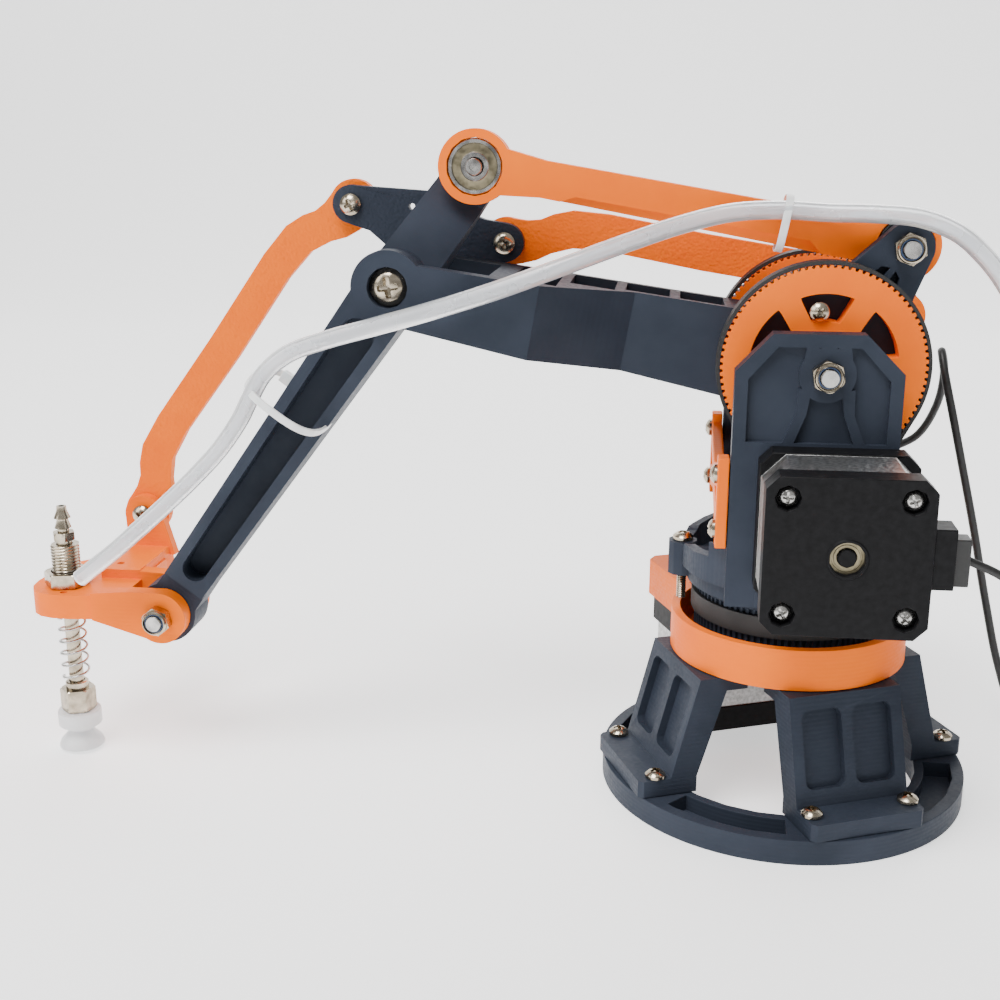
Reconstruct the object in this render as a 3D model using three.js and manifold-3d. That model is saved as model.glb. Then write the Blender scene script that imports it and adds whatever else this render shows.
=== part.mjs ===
// Desktop robot arm with parallel linkages, three belt drives and a sprung suction tool.
// Millimetres, +Z up. The arm reaches along -X and its front is the -Y side.
// Every length below is measured from the turntable axis, and from the desk upwards.
import * as THREE from "three";
import { mergeVertices } from "three/addons/utils/BufferGeometryUtils.js";
import Module from "manifold-3d";

const wasm = await Module();
wasm.setup();

// ---- driving dimensions -------------------------------------------------
// the row origin is the middle of the footprint box, this far from the turntable axis
const rowOriginX = -90.5;
const rowOriginY = 5;
const gap = 0.3;

const shoulder = { x: 4, z: 132.5 };
const upperArm = { x: -121.4, z: 21.2 };
const foreArm = { x: -75.3, z: -103.5 };
const crankArm = { x: 21.8, z: 32.4 };
const levelFront = { x: -21.3, z: 20.2 };
const levelRear = { x: 27, z: 8.8 };

const ringRadius = 55.3;
const ringHeight = 7.4;
const legAngle = -66.9;
const legCount = 3;
const legWidth = 35;
const footScrewRadius = 48.2;
const footScrewSpacing = 30.1;
const housingRadius = 35.2;
const housingBottom = 43.3;
const housingTop = 55.5;
const baseMotorReach = 37;

const motorSide = 42.3;
const motorLength = 34;
const motorX = 7.9;
const motorZ = 91.6;

const pulleyRadius = 28.3;
const beltThickness = 1.1;
const beltWidth = 6;
const pinionRadius = 6.2;

// stations along Y, front to back
const nearPlateFront = -28.5;
const plateThickness = 6;
const elbowPulleyFront = -17;
const pulleyThickness = 7;
const crankFront = -9.7;
const crankThickness = 5.5;
const rearLinkFront = -3.6;
const rearLinkThickness = 6;
const armFront = -3.6;
const armBack = 19.6;
const earFront = -24.5;
const earThickness = 5.5;
const forearmFront = -18.4;
const forearmBack = 9.5;
const shoulderPulleyFront = 19.9;
const levelPlateFront = 24.4;
const levelPlateThickness = 3.5;
const levelLinkFront = 28.2;
const levelLinkThickness = 3.6;
const farPlateFront = 32.5;

// 625ZZ ball bearing and M5 and M3 hardware
const bearing = { outer: 8, inner: 2.5, width: 5 };
const m5 = { shank: 2.4, bore: 2.75, nut: 4.6, nutHeight: 4.7, head: 5.4, headHeight: 3.2 };
const m3 = { shank: 1.45, head: 2.9, headHeight: 2 };

const elbow = { x: shoulder.x + upperArm.x, z: shoulder.z + upperArm.z };
const wrist = { x: elbow.x + foreArm.x, z: elbow.z + foreArm.z };
const linkA = { x: elbow.x + crankArm.x, z: elbow.z + crankArm.z };
const linkB = { x: shoulder.x + crankArm.x, z: shoulder.z + crankArm.z };
const levelT1 = { x: elbow.x + levelFront.x, z: elbow.z + levelFront.z };
const levelT2 = { x: elbow.x + levelRear.x, z: elbow.z + levelRear.z };
const levelF = { x: shoulder.x + levelRear.x, z: shoulder.z + levelRear.z };
const levelG = { x: wrist.x + levelFront.x, z: wrist.z + levelFront.z };

// ---- colours -------------------------------------------------------------
const look = {
  orange: { color: 0xf2740f, roughness: 0.5, metalness: 0 },
  slate: { color: 0x2f3440, roughness: 0.55, metalness: 0 },
  black: { color: 0x0d0d0e, roughness: 0.45, metalness: 0.1 },
  belt: { color: 0x111111, roughness: 0.8, metalness: 0 },
  steel: { color: 0xc9c4ba, roughness: 0.25, metalness: 1 },
  nickel: { color: 0xb9ad96, roughness: 0.25, metalness: 1 },
  silicone: { color: 0xe6e8ea, roughness: 0.3, metalness: 0 },
};

// ---- solids --------------------------------------------------------------
const rad = THREE.MathUtils.degToRad;
const curveQuality = 0.3;

// how many flats stand for a curve that is asked for with this many; hexagons stay hexagons
function facets(sides) {
  return sides <= 6 ? sides : Math.max(8, 2 * Math.round((sides * curveQuality) / 2));
}

function solid(geometry) {
  let plain = geometry.clone();
  plain.deleteAttribute("normal");
  plain.deleteAttribute("uv");
  plain = mergeVertices(plain, 1e-4);
  const vertProperties = new Float32Array(plain.attributes.position.array);
  const triVerts = new Uint32Array(plain.index.array);
  return new wasm.Manifold(new wasm.Mesh({ numProp: 3, vertProperties, triVerts }));
}

function surface(body) {
  const mesh = body.getMesh();
  const geometry = new THREE.BufferGeometry();
  geometry.setAttribute("position", new THREE.BufferAttribute(new Float32Array(mesh.vertProperties), 3));
  geometry.setIndex(new THREE.BufferAttribute(new Uint32Array(mesh.triVerts), 1));
  return geometry;
}

function join(first, ...others) {
  return others.reduce((sum, other) => sum.add(other), first);
}

function cut(first, ...others) {
  return others.reduce((sum, other) => sum.subtract(other), first);
}

// a round bar along Y
function barY(at, radius, y0, y1, sides = 32, endRadius = radius) {
  const geometry = new THREE.CylinderGeometry(endRadius, radius, y1 - y0, facets(sides));
  geometry.translate(at.x, (y0 + y1) / 2, at.z);
  return solid(geometry);
}

// a round bar along Z
function barZ(x, y, radius, z0, z1, sides = 32, topRadius = radius) {
  const geometry = new THREE.CylinderGeometry(topRadius, radius, z1 - z0, facets(sides));
  geometry.rotateX(Math.PI / 2);
  geometry.translate(x, y, (z0 + z1) / 2);
  return solid(geometry);
}

function box(x0, x1, y0, y1, z0, z1) {
  const geometry = new THREE.BoxGeometry(x1 - x0, y1 - y0, z1 - z0);
  geometry.translate((x0 + x1) / 2, (y0 + y1) / 2, (z0 + z1) / 2);
  return solid(geometry);
}

// an outline drawn in X and Z, given thickness from y0 back to y1
function slab(shape, y0, y1, curveSegments = 8) {
  const settings = { depth: y1 - y0, bevelEnabled: false, curveSegments: facets(2 * curveSegments) / 2 };
  const geometry = new THREE.ExtrudeGeometry(shape, settings);
  geometry.rotateX(Math.PI / 2);
  geometry.translate(0, y1, 0);
  return solid(geometry);
}

// an outline drawn in X and Y, given height from z0 to z1
function tile(shape, z0, z1, curveSegments = 8) {
  const settings = { depth: z1 - z0, bevelEnabled: false, curveSegments: facets(2 * curveSegments) / 2 };
  const geometry = new THREE.ExtrudeGeometry(shape, settings);
  geometry.translate(0, 0, z0);
  return solid(geometry);
}

function outline(points) {
  return new THREE.Shape(points.map(([x, y]) => new THREE.Vector2(x, y)));
}

// a straight bar with a round end of its own radius at each of two points
function capsule(a, b, radiusA, radiusB) {
  const heading = Math.atan2(b.z - a.z, b.x - a.x);
  const reach = Math.hypot(b.x - a.x, b.z - a.z);
  const lean = Math.acos((radiusA - radiusB) / reach);
  const shape = new THREE.Shape();
  shape.absarc(a.x, a.z, radiusA, heading + lean, heading - lean + 2 * Math.PI, false);
  shape.absarc(b.x, b.z, radiusB, heading - lean, heading + lean, false);
  shape.closePath();
  return shape;
}

// a square with cut corners, centred on a point
function octagon(x, y, half, corner) {
  const near = half - corner;
  return outline([
    [x - half, y - near], [x - near, y - half], [x + near, y - half], [x + half, y - near],
    [x + half, y + near], [x + near, y + half], [x - near, y + half], [x - half, y + near],
  ]);
}

// a rounded rectangle, centred on a point
function roundedRectangle(x, y, width, height, radius) {
  const shape = new THREE.Shape();
  const w = width / 2;
  const h = height / 2;
  shape.moveTo(x - w + radius, y - h);
  shape.absarc(x + w - radius, y - h + radius, radius, -Math.PI / 2, 0, false);
  shape.absarc(x + w - radius, y + h - radius, radius, 0, Math.PI / 2, false);
  shape.absarc(x - w + radius, y + h - radius, radius, Math.PI / 2, Math.PI, false);
  shape.absarc(x - w + radius, y - h + radius, radius, Math.PI, 1.5 * Math.PI, false);
  return shape;
}

// a solid of revolution about a vertical axis
function turned(profile, x = 0, y = 0, segments = 48) {
  const geometry = new THREE.LatheGeometry(profile.map(([r, z]) => new THREE.Vector2(r, z)), facets(segments));
  geometry.rotateX(Math.PI / 2);
  geometry.translate(x, y, 0);
  return solid(geometry);
}

// a solid of revolution about an axis along Y
function turnedY(profile, at, segments = 32) {
  const geometry = new THREE.LatheGeometry(profile.map(([r, y]) => new THREE.Vector2(r, y)), facets(segments));
  geometry.translate(at.x, 0, at.z);
  return solid(geometry);
}

// a round tube or solid cord along a route of points
function cord(points, radius, sides, steps) {
  const places = points.map((p) => new THREE.Vector3(...p));
  places[0].addScaledVector(places[1].clone().sub(places[0]).normalize(), gap * 3);
  const route = new THREE.CatmullRomCurve3(places, false, "centripetal");
  const ring = [];
  for (let i = 0; i < sides; i += 1) {
    const turn = (2 * Math.PI * i) / sides;
    ring.push([radius * Math.cos(turn), radius * Math.sin(turn)]);
  }
  return new THREE.ExtrudeGeometry(outline(ring), { steps, extrudePath: route, bevelEnabled: false });
}

const arm = new THREE.Group();
arm.position.set(-rowOriginX, -rowOriginY, 0);

function add(name, body, finish, parent = arm) {
  const geometry = body.isBufferGeometry ? body : surface(body);
  const mesh = new THREE.Mesh(geometry, new THREE.MeshStandardMaterial(finish));
  mesh.name = name;
  parent.add(mesh);
  return mesh;
}

// ---- base ----------------------------------------------------------------
const padTop = 12.8;
const padBottom = ringHeight + gap;
const legTop = housingBottom - gap;

function baseRing() {
  const innerRadius = 41;
  const lip = 2.6;
  const wall = 3.4;
  const floor = 2.6;
  let ring = turned([
    [innerRadius, 0], [ringRadius, 0], [ringRadius, ringHeight], [ringRadius - wall, ringHeight],
    [ringRadius - wall, floor], [innerRadius + lip, floor], [innerRadius + lip, ringHeight],
    [innerRadius, ringHeight], [innerRadius, 0],
  ], 0, 0, 96);
  const spokes = 4;
  for (let i = 0; i < spokes; i += 1) {
    const start = rad(legAngle + 90 * i - 25);
    const end = rad(legAngle + 90 * i + 25);
    const boss = new THREE.Shape();
    boss.absarc(0, 0, ringRadius - wall / 2, start, end, false);
    boss.absarc(0, 0, innerRadius + lip / 2, end, start, true);
    ring = ring.add(tile(boss, floor / 2, ringHeight, 12));
  }
  for (let i = 0; i < legCount; i += 1) {
    footScrewPlaces(i).forEach(([x, y]) => {
      ring = ring.subtract(barZ(x, y, m3.shank + gap, floor, ringHeight + 1, 16));
    });
  }
  return ring;
}

function legHeading(index) {
  return legAngle + 90 * (index - 1);
}

function footScrewPlaces(index) {
  const heading = rad(legHeading(index));
  return [-1, 1].map((side) => {
    const t = (side * footScrewSpacing) / 2;
    return [
      footScrewRadius * Math.cos(heading) - t * Math.sin(heading),
      footScrewRadius * Math.sin(heading) + t * Math.cos(heading),
    ];
  });
}

// one leg, drawn standing at +X: a foot pad, a sloped plate with two recessed windows, a top flange
function leg() {
  const plateFoot = 44.2;
  const plateHead = 36;
  const thickness = 8.4;
  const flangeInner = 21;
  const flangeThickness = 4.2;
  const profile = outline([
    [36, padBottom], [54, padBottom], [54, padTop], [plateFoot, padTop], [plateHead, legTop],
    [flangeInner, legTop], [flangeInner, legTop - flangeThickness],
    [plateHead - thickness, legTop - flangeThickness], [36, padTop],
  ]);
  let body = slab(profile, -legWidth / 2, legWidth / 2);
  const slope = Math.atan2(plateFoot - plateHead, legTop - padTop);
  const windowDepth = 2.6;
  [-1, 1].forEach((side) => {
    const shape = roundedRectangle(0, 0, 12.4, 22.5, 2.6);
    const geometry = new THREE.ExtrudeGeometry(shape, { depth: 6, bevelEnabled: false, curveSegments: 5 });
    geometry.translate(0, 0, -windowDepth);
    geometry.rotateX(Math.PI / 2);
    geometry.rotateZ(Math.PI / 2);
    geometry.rotateY(-slope);
    geometry.translate((plateFoot + plateHead) / 2, side * 7.9, (padTop + legTop) / 2 + 0.4);
    body = body.subtract(solid(geometry));
    // the foot's outer corners are cut off
    const corner = new THREE.BoxGeometry(7, 7, 20);
    corner.rotateZ(Math.PI / 4);
    corner.translate(56, side * (legWidth / 2 + 1.6), padTop);
    body = body.subtract(solid(corner));
    const hole = barZ(footScrewRadius, (side * footScrewSpacing) / 2, m3.shank + gap, 0, padTop + 1, 16);
    body = body.subtract(hole);
  });
  return surface(body);
}

function footScrew() {
  const shankFoot = 5;
  return surface(join(
    barZ(0, 0, m3.shank, shankFoot, padTop + 0.6, 12),
    barZ(0, 0, m3.head, padTop + gap, padTop + gap + 1.1, 20),
    barZ(0, 0, m3.head, padTop + gap + 1, padTop + gap + m3.headHeight, 20, m3.head * 0.62),
  ));
}

const motorHeading = legAngle + 180;
const baseMotorAt = {
  x: baseMotorReach * Math.cos(rad(motorHeading)),
  y: baseMotorReach * Math.sin(rad(motorHeading)),
};

function turnAbout(geometry, degrees) {
  geometry.rotateZ(rad(degrees));
  return geometry;
}

// the belt housing: an open tub round the turntable, with a deck over the base motor
function baseHousing() {
  const floorTop = housingBottom + 3;
  const wall = 2.6;
  const deck = new THREE.ExtrudeGeometry(
    octagon(baseMotorReach, 0, 22.4, 3), { depth: housingTop - housingBottom, bevelEnabled: false });
  deck.translate(0, 0, housingBottom);
  const inner = capsule({ x: 0, z: 0 }, { x: baseMotorReach, z: 0 }, housingRadius - wall, 12);
  const hollow = new THREE.ExtrudeGeometry(inner, { depth: 20, bevelEnabled: false, curveSegments: 16 });
  hollow.translate(0, 0, floorTop);
  return join(
    barZ(0, 0, housingRadius, housingBottom, housingTop, 96),
    solid(turnAbout(deck, motorHeading)),
  ).subtract(solid(turnAbout(hollow, motorHeading)))
    .subtract(barZ(baseMotorAt.x, baseMotorAt.y, 11.6, 0, 60))
    .subtract(barZ(0, 0, 10, 0, 60));
}

// a stepper motor drawn standing: mounting face at z 0, rear cover at -motorLength, axis along Z
function motor(connectorSide) {
  const cap = 8;
  const half = motorSide / 2;
  let body = join(
    tile(octagon(0, 0, half, 3.4), -cap, 0),
    tile(octagon(0, 0, half - 0.5, 6.2), -motorLength + cap, -cap + 0.01),
    tile(octagon(0, 0, half, 3.4), -motorLength, -motorLength + cap + 0.01),
    barZ(0, 0, 11, -1, 2, 32),
  );
  const screwSquare = 15.5;
  [[-1, -1], [-1, 1], [1, -1], [1, 1]].forEach(([sx, sy]) => {
    const well = barZ(sx * screwSquare, sy * screwSquare, 3.4, -motorLength - 1, -motorLength + 2.6, 24);
    body = body.subtract(well);
  });
  body = body.subtract(barZ(0, 0, 4.6, -motorLength - 1, -motorLength + 3, 32));
  body = body.add(barZ(0, 0, 2.5, -motorLength + 0.6, -motorLength + 4, 20));
  // the plug housing on one side of the rear cover
  const plug = box(half - 1, half + 5.4, -8.6, 7.4, -motorLength + 0.5, -motorLength + 9.5);
  if (connectorSide) body = body.add(plug);
  body = body.subtract(barZ(0, 0, 3.2, -2, 3, 24));
  return surface(body);
}

// a toothed pinion on its motor shaft, drawn standing with the motor's face at z 0
function pinion(bottom, top) {
  const flange = pinionRadius + 1.4;
  return surface(join(
    barZ(0, 0, 2.5, -1.5, top + 2, 20),
    barZ(0, 0, pinionRadius - 0.8, bottom, top, 40),
    barZ(0, 0, flange, bottom - 1, bottom + 0.2, 32),
    barZ(0, 0, flange, top - 0.2, top + 0.8, 32),
  ));
}

// a closed belt round two wheels, drawn in X and Z
function beltLoop(a, b, radiusA, radiusB, y0, y1) {
  const outer = slab(capsule(a, b, radiusA + beltThickness, radiusB + beltThickness), y0, y1, 44);
  return outer.subtract(slab(capsule(a, b, radiusA, radiusB), y0 - 1, y1 + 1, 44));
}

const baseBeltBottom = 56.2;

function baseBelt() {
  const far = { x: baseMotorReach, z: 0 };
  const loop = beltLoop({ x: 0, z: 0 }, far, pulleyRadius + gap, pinionRadius + gap, 0, beltWidth);
  const geometry = surface(loop);
  geometry.rotateX(Math.PI / 2);
  geometry.translate(0, 0, baseBeltBottom);
  geometry.rotateZ(rad(motorHeading));
  return geometry;
}

// ---- turntable -------------------------------------------------------------
const deckBottom = 65.4;
const deckTop = 70;
const frameLeft = shoulder.x - 24.6;
const frameRight = shoulder.x + 20.4;
const frameShoulder = shoulder.z + 0.5;
const frameTop = shoulder.z + 11;

function turntablePulley() {
  const flange = pulleyRadius + 0.2;
  return join(
    barZ(0, 0, pulleyRadius, 49, deckBottom - gap, 90),
    barZ(0, 0, flange, 63.6, deckBottom - gap, 90),
  ).subtract(barZ(0, 0, 8.5, 40, 70, 32));
}

// the outline that both side plates share above the motors
function sidePlateOutline(left, right) {
  return outline([
    [left, deckBottom + 3], [right, deckBottom + 3], [right, frameShoulder],
    [shoulder.x + 9.9, frameTop], [shoulder.x - 14.8, frameTop], [left, frameShoulder],
  ]);
}

function turntableFrame() {
  const back = nearPlateFront + plateThickness;
  let body = slab(sidePlateOutline(frameLeft, frameRight), nearPlateFront, back);
  // a recessed panel with a raised border, a central boss and two curved ribs
  const inset = 3.6;
  const panelFoot = shoulder.z - 19;
  const panel = slab(outline([
    [frameLeft + inset, panelFoot], [frameRight - inset, panelFoot], [frameRight - inset, frameShoulder - 2],
    [shoulder.x + 8.6, frameTop - inset], [shoulder.x - 13.4, frameTop - inset],
    [frameLeft + inset, frameShoulder - 2],
  ]), nearPlateFront - 1, nearPlateFront + 1.8);
  const kept = [barY(shoulder, 7.6, nearPlateFront - 2, nearPlateFront + 3, 40)];
  [-1, 1].forEach((side) => {
    const rib = outline([
      [shoulder.x + side * 4, shoulder.z - 4], [shoulder.x + side * 7.6, shoulder.z - 4],
      [shoulder.x + side * 7.8, shoulder.z - 11], [shoulder.x + side * 11.5, panelFoot - 1],
      [shoulder.x + side * 8.4, panelFoot - 1], [shoulder.x + side * 5, shoulder.z - 11],
    ]);
    kept.push(slab(rib, nearPlateFront - 2, nearPlateFront + 3));
    const neck = outline([
      [shoulder.x + side * 3, shoulder.z + 4], [shoulder.x + side * 6.4, shoulder.z + 4],
      [shoulder.x + side * 5.4, frameTop], [shoulder.x + side * 2, frameTop],
    ]);
    kept.push(slab(neck, nearPlateFront - 2, nearPlateFront + 3));
  });
  body = body.subtract(cut(panel, ...kept));
  body = body.subtract(barY(shoulder, m5.bore, nearPlateFront - 2, back + 2));
  body = body.subtract(barY({ x: motorX, z: motorZ }, 11.6, nearPlateFront - 2, back + 2));
  // the round deck and the curved wall that joins the two side plates
  const wallRadius = 33;
  const deck = barZ(0, 0, 31, deckBottom, deckTop, 96);
  let wall = barZ(0, 0, wallRadius, deckTop - 0.1, 96, 96).subtract(barZ(0, 0, wallRadius - 3, 0, 120, 96));
  wall = wall.subtract(box(-12, 60, -60, 60, 0, 120));
  // the wall dips in a wide curve between the plates
  const dip = barY({ x: -30, z: 103 }, 26, -21, 26, 64);
  const dipGeometry = new THREE.CylinderGeometry(25, 25, 40, facets(64));
  dipGeometry.rotateZ(Math.PI / 2);
  dipGeometry.translate(-30, 2, 100);
  wall = wall.subtract(dip).subtract(solid(dipGeometry));
  const foot = box(frameLeft, frameRight, nearPlateFront, back, deckBottom, deckBottom + 3.5);
  const bossX = -32.5;
  const boss = join(
    barZ(bossX, 0, 4.4, deckBottom + 0.5, 76.2, 32),
    box(bossX, -24, -4.4, 4.4, deckBottom + 0.5, 73),
  );
  body = join(body, deck, wall, foot, boss);
  body = body.subtract(barZ(bossX, 0, m3.shank + 0.35, 50, 90, 16));
  // clearance for the brace, the two motors and the far plate
  body = body.subtract(box(-40, frameLeft, -60, 60, 82.2, 120));
  body = body.subtract(box(-40, 60, farPlateFront - gap, 60, 0, 200));
  body = body.subtract(box(-40, 60, -60, nearPlateFront, 0, 200));
  return body;
}

function farPlate() {
  const back = farPlateFront + plateThickness;
  const wing = outline([
    [motorX, 84], [frameRight + 4, 84], [frameRight + 9, 89.5], [frameRight + 9, 117], [motorX, 117],
  ]);
  return cut(
    join(
      slab(sidePlateOutline(frameLeft, frameRight), farPlateFront, back),
      slab(wing, farPlateFront, back),
      barY(levelF, 8, farPlateFront, back, 32),
      box(levelF.x - 12, levelF.x, farPlateFront, back, levelF.z - 12, levelF.z),
    ),
    barY(shoulder, m5.bore, farPlateFront - 2, back + 2),
    barY(levelF, m5.bore, farPlateFront - 2, back + 2),
    barY({ x: motorX, z: motorZ }, 11.6, farPlateFront - 2, back + 2),
  );
}

// the orange brace bolted to the front edges of both side plates: an X with four feet
function frontBrace() {
  const x0 = frameLeft - gap - 3.2;
  const x1 = frameLeft - gap;
  const footY = [nearPlateFront + 3, farPlateFront + 3];
  const footZ = [87.5, 103.5];
  const middle = (footY[0] + footY[1]) / 2;
  let body = null;
  footY.forEach((y) => {
    const post = box(x0, x1, y - 3, y + 3, footZ[0] - 5, footZ[1] + 5);
    body = body ? body.add(post) : post;
  });
  footY.forEach((y) => {
    footZ.forEach((z) => {
      const toward = Math.sign(middle - y);
      const strut = outline([
        [y - 2.4 * toward, z - 3.4], [y - 2.4 * toward, z + 3.4],
        [middle + 3 * toward, (footZ[0] + footZ[1]) / 2 + 3.4],
        [middle + 3 * toward, (footZ[0] + footZ[1]) / 2 - 3.4],
      ]);
      const geometry = new THREE.ExtrudeGeometry(strut, { depth: x1 - x0, bevelEnabled: false });
      geometry.rotateX(Math.PI / 2);
      geometry.rotateZ(Math.PI / 2);
      geometry.translate(x0, 0, 0);
      body = body.add(solid(geometry));
    });
  });
  return body;
}

function stopScrew() {
  return join(
    barZ(-32.5, 0, m3.shank, 57.6, 77, 16),
    barZ(-32.5, 0, 3.1, 76.5, 77.6, 24),
    barZ(-32.5, 0, 3.1, 77.5, 78.8, 24, 2),
  );
}

// ---- bolts, nuts and bearings along Y ----------------------------------------
function nylockNut(at, front) {
  const collar = 1.4;
  return cut(
    join(
      barY(at, m5.nut, front + collar, front + m5.nutHeight, 6),
      barY(at, 3.7, front, front + collar + 0.1, 28),
    ),
    barY(at, m5.shank + gap, front - 1, front + m5.nutHeight + 1, 24),
  );
}

function ballBearing(at, front) {
  const { outer, inner, width } = bearing;
  const shield = 0.5;
  return turnedY([
    [inner, front], [inner + 1.3, front], [inner + 1.3, front + shield], [outer - 1.3, front + shield],
    [outer - 1.3, front], [outer, front], [outer, front + width], [outer - 1.3, front + width],
    [outer - 1.3, front + width - shield], [inner + 1.3, front + width - shield],
    [inner + 1.3, front + width], [inner, front + width], [inner, front],
  ], at, 40);
}

// a plain bolt along Y with a domed cross-recess head at its front end
function panBolt(at, front, back, shank, head, headHeight) {
  const crown = 0.35;
  let body = join(
    barY(at, shank, front + headHeight - 0.5, back, 20),
    turnedY([
      [0, front], [head * 0.45, front + 0.1], [head * 0.8, front + headHeight * crown],
      [head, front + headHeight * 0.8], [head, front + headHeight], [0, front + headHeight],
    ], at, 28),
  );
  const arms = head * 0.5;
  const width = head * 0.11;
  const depth = headHeight * 0.55;
  const slotA = box(at.x - arms, at.x + arms, front - 1, front + depth, at.z - width, at.z + width);
  const slotB = box(at.x - width, at.x + width, front - 1, front + depth, at.z - arms, at.z + arms);
  body = cut(body, slotA, slotB);
  return body;
}

// ---- belt wheels of the two arm drives -----------------------------------------
function armPulley(front, hubTo) {
  const back = front + pulleyThickness;
  let body = barY(shoulder, pulleyRadius, front, back, 90);
  const hub = 8;
  body = body.add(barY(shoulder, hub, Math.min(front, hubTo), Math.max(back, hubTo), 36));
  const windows = 6;
  const innerRadius = 13;
  const outerRadius = 20.5;
  for (let i = 0; i < windows; i += 1) {
    const mid = rad(30 + 60 * i);
    const half = rad(21);
    const shape = new THREE.Shape();
    shape.absarc(shoulder.x, shoulder.z, outerRadius, mid - half, mid + half, false);
    shape.absarc(shoulder.x, shoulder.z, innerRadius, mid + half * 0.8, mid - half * 0.8, true);
    body = body.subtract(slab(shape, front - 1, back + 1, 8));
  }
  return body.subtract(barY(shoulder, m5.shank + gap, -60, 60, 24));
}

function crank() {
  const back = crankFront + crankThickness;
  const root = capsule(shoulder, linkB, 20, 7);
  let body = slab(root, crankFront, back, 20);
  body = body.intersect(join(
    barY(shoulder, 22, crankFront - 1, back + 1, 48),
    slab(capsule(shoulder, linkB, 16, 7), crankFront - 1, back + 1, 20),
  ));
  // a triangular pocket with a middle rib, open to the front
  const along = { x: crankArm.x / 39.05, z: crankArm.z / 39.05 };
  const place = (t, s) => [shoulder.x + along.x * t - along.z * s, shoulder.z + along.z * t + along.x * s];
  [-1, 1].forEach((side) => {
    const pocket = outline([place(29.8, side * 0.9), place(32, side * 0.9), place(31, side * 3), place(23, side * 6),
      place(23, side * 0.9)]);
    body = body.subtract(slab(pocket, crankFront - 1, crankFront + 3));
  });
  return cut(body,
    barY(shoulder, m5.shank + gap, -60, 60, 24),
    barY(linkB, m5.shank + 0.05, -60, 60, 24));
}

// ---- lower arm --------------------------------------------------------------
function along(from, to, distance, side) {
  const reach = Math.hypot(to.x - from.x, to.z - from.z);
  const ux = (to.x - from.x) / reach;
  const uz = (to.z - from.z) / reach;
  return [from.x + ux * distance - uz * side, from.z + uz * distance + ux * side];
}

// a prism that spans from one rectangle to another, each given by its four corners
function prism(cornersA, cornersB) {
  const points = [...cornersA, ...cornersB].map((p) => new THREE.Vector3(...p));
  const positions = points.flatMap((p) => [p.x, p.y, p.z]);
  const faces = [0, 2, 1, 0, 3, 2, 4, 5, 6, 4, 6, 7];
  for (let i = 0; i < 4; i += 1) {
    const j = (i + 1) % 4;
    faces.push(i, j, 4 + j, i, 4 + j, 4 + i);
  }
  const geometry = new THREE.BufferGeometry();
  geometry.setAttribute("position", new THREE.Float32BufferAttribute(positions, 3));
  geometry.setIndex(faces);
  const body = solid(geometry);
  if (body.volume() > 0) return body;
  geometry.setIndex(faces.flatMap((_, k) => (k % 3 ? [] : [faces[k], faces[k + 2], faces[k + 1]])));
  return solid(geometry);
}

// a section across the lower arm at a distance from the elbow: low and high sides, front and back
function armSection(distance, low, high, front, back) {
  const [xl, zl] = along(elbow, shoulder, distance, -low);
  const [xh, zh] = along(elbow, shoulder, distance, high);
  return [[xl, front, zl], [xh, front, zh], [xh, back, zh], [xl, back, zl]];
}

function lowerArm() {
  const reach = Math.hypot(upperArm.x, upperArm.z);
  const flareStart = 42;
  const flareEnd = 68;
  const nearEarBack = earFront + earThickness;
  const forkDepth = 27;
  const farEarFront = forearmBack + 0.6;
  const elbowRadius = 10.4;
  const section = (d, front) => armSection(d, 10.2 + d * 0.055, 7.2 + d * 0.03, front, armBack);
  let body = join(
    prism(section(2, earFront), section(flareStart, earFront)),
    prism(section(flareStart - 0.01, earFront), section(flareEnd, armFront)),
    prism(section(flareEnd - 0.01, armFront), section(reach, armFront)),
    barY(elbow, elbowRadius, earFront, armBack, 48),
    barY(shoulder, 19, armFront, armBack, 64),
  );
  // the fork that takes the forearm's hub
  const slot = prism(
    armSection(-20, 30, 30, nearEarBack, farEarFront), armSection(forkDepth, 30, 30, nearEarBack, farEarFront));
  body = body.subtract(slot);
  // the hollow top with cross bars
  const wall = 2.8;
  const bars = [33, 49, 65, 81];
  bars.forEach((start) => {
    const end = start + 13;
    const frontAt = (d) => (d < flareStart ? earFront
      : earFront + ((armFront - earFront) * Math.min(1, (d - flareStart) / (flareEnd - flareStart))));
    const front = Math.max(frontAt(start), frontAt(end)) + wall;
    const pocket = prism(
      armSection(start, 6, 30, front, armBack - wall), armSection(end, 6, 30, front, armBack - wall));
    body = body.subtract(pocket);
  });
  return cut(body,
    barY(elbow, m5.head + 0.5, earFront - 1, earFront + 3.6, 40),
    barY(elbow, m5.bore, -60, 60, 24),
    barY(shoulder, m5.bore, -60, 60, 24));
}

// ---- forearm -----------------------------------------------------------------
function forearmSection(distance, left, right, front, back, toward) {
  const [xl, zl] = along(elbow, toward, distance, -left);
  const [xr, zr] = along(elbow, toward, distance, right);
  return [[xl, front, zl], [xr, front, zr], [xr, back, zr], [xl, back, zl]];
}

const wristHubFront = -14.6;
const wristHubBack = -2.4;

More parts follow.
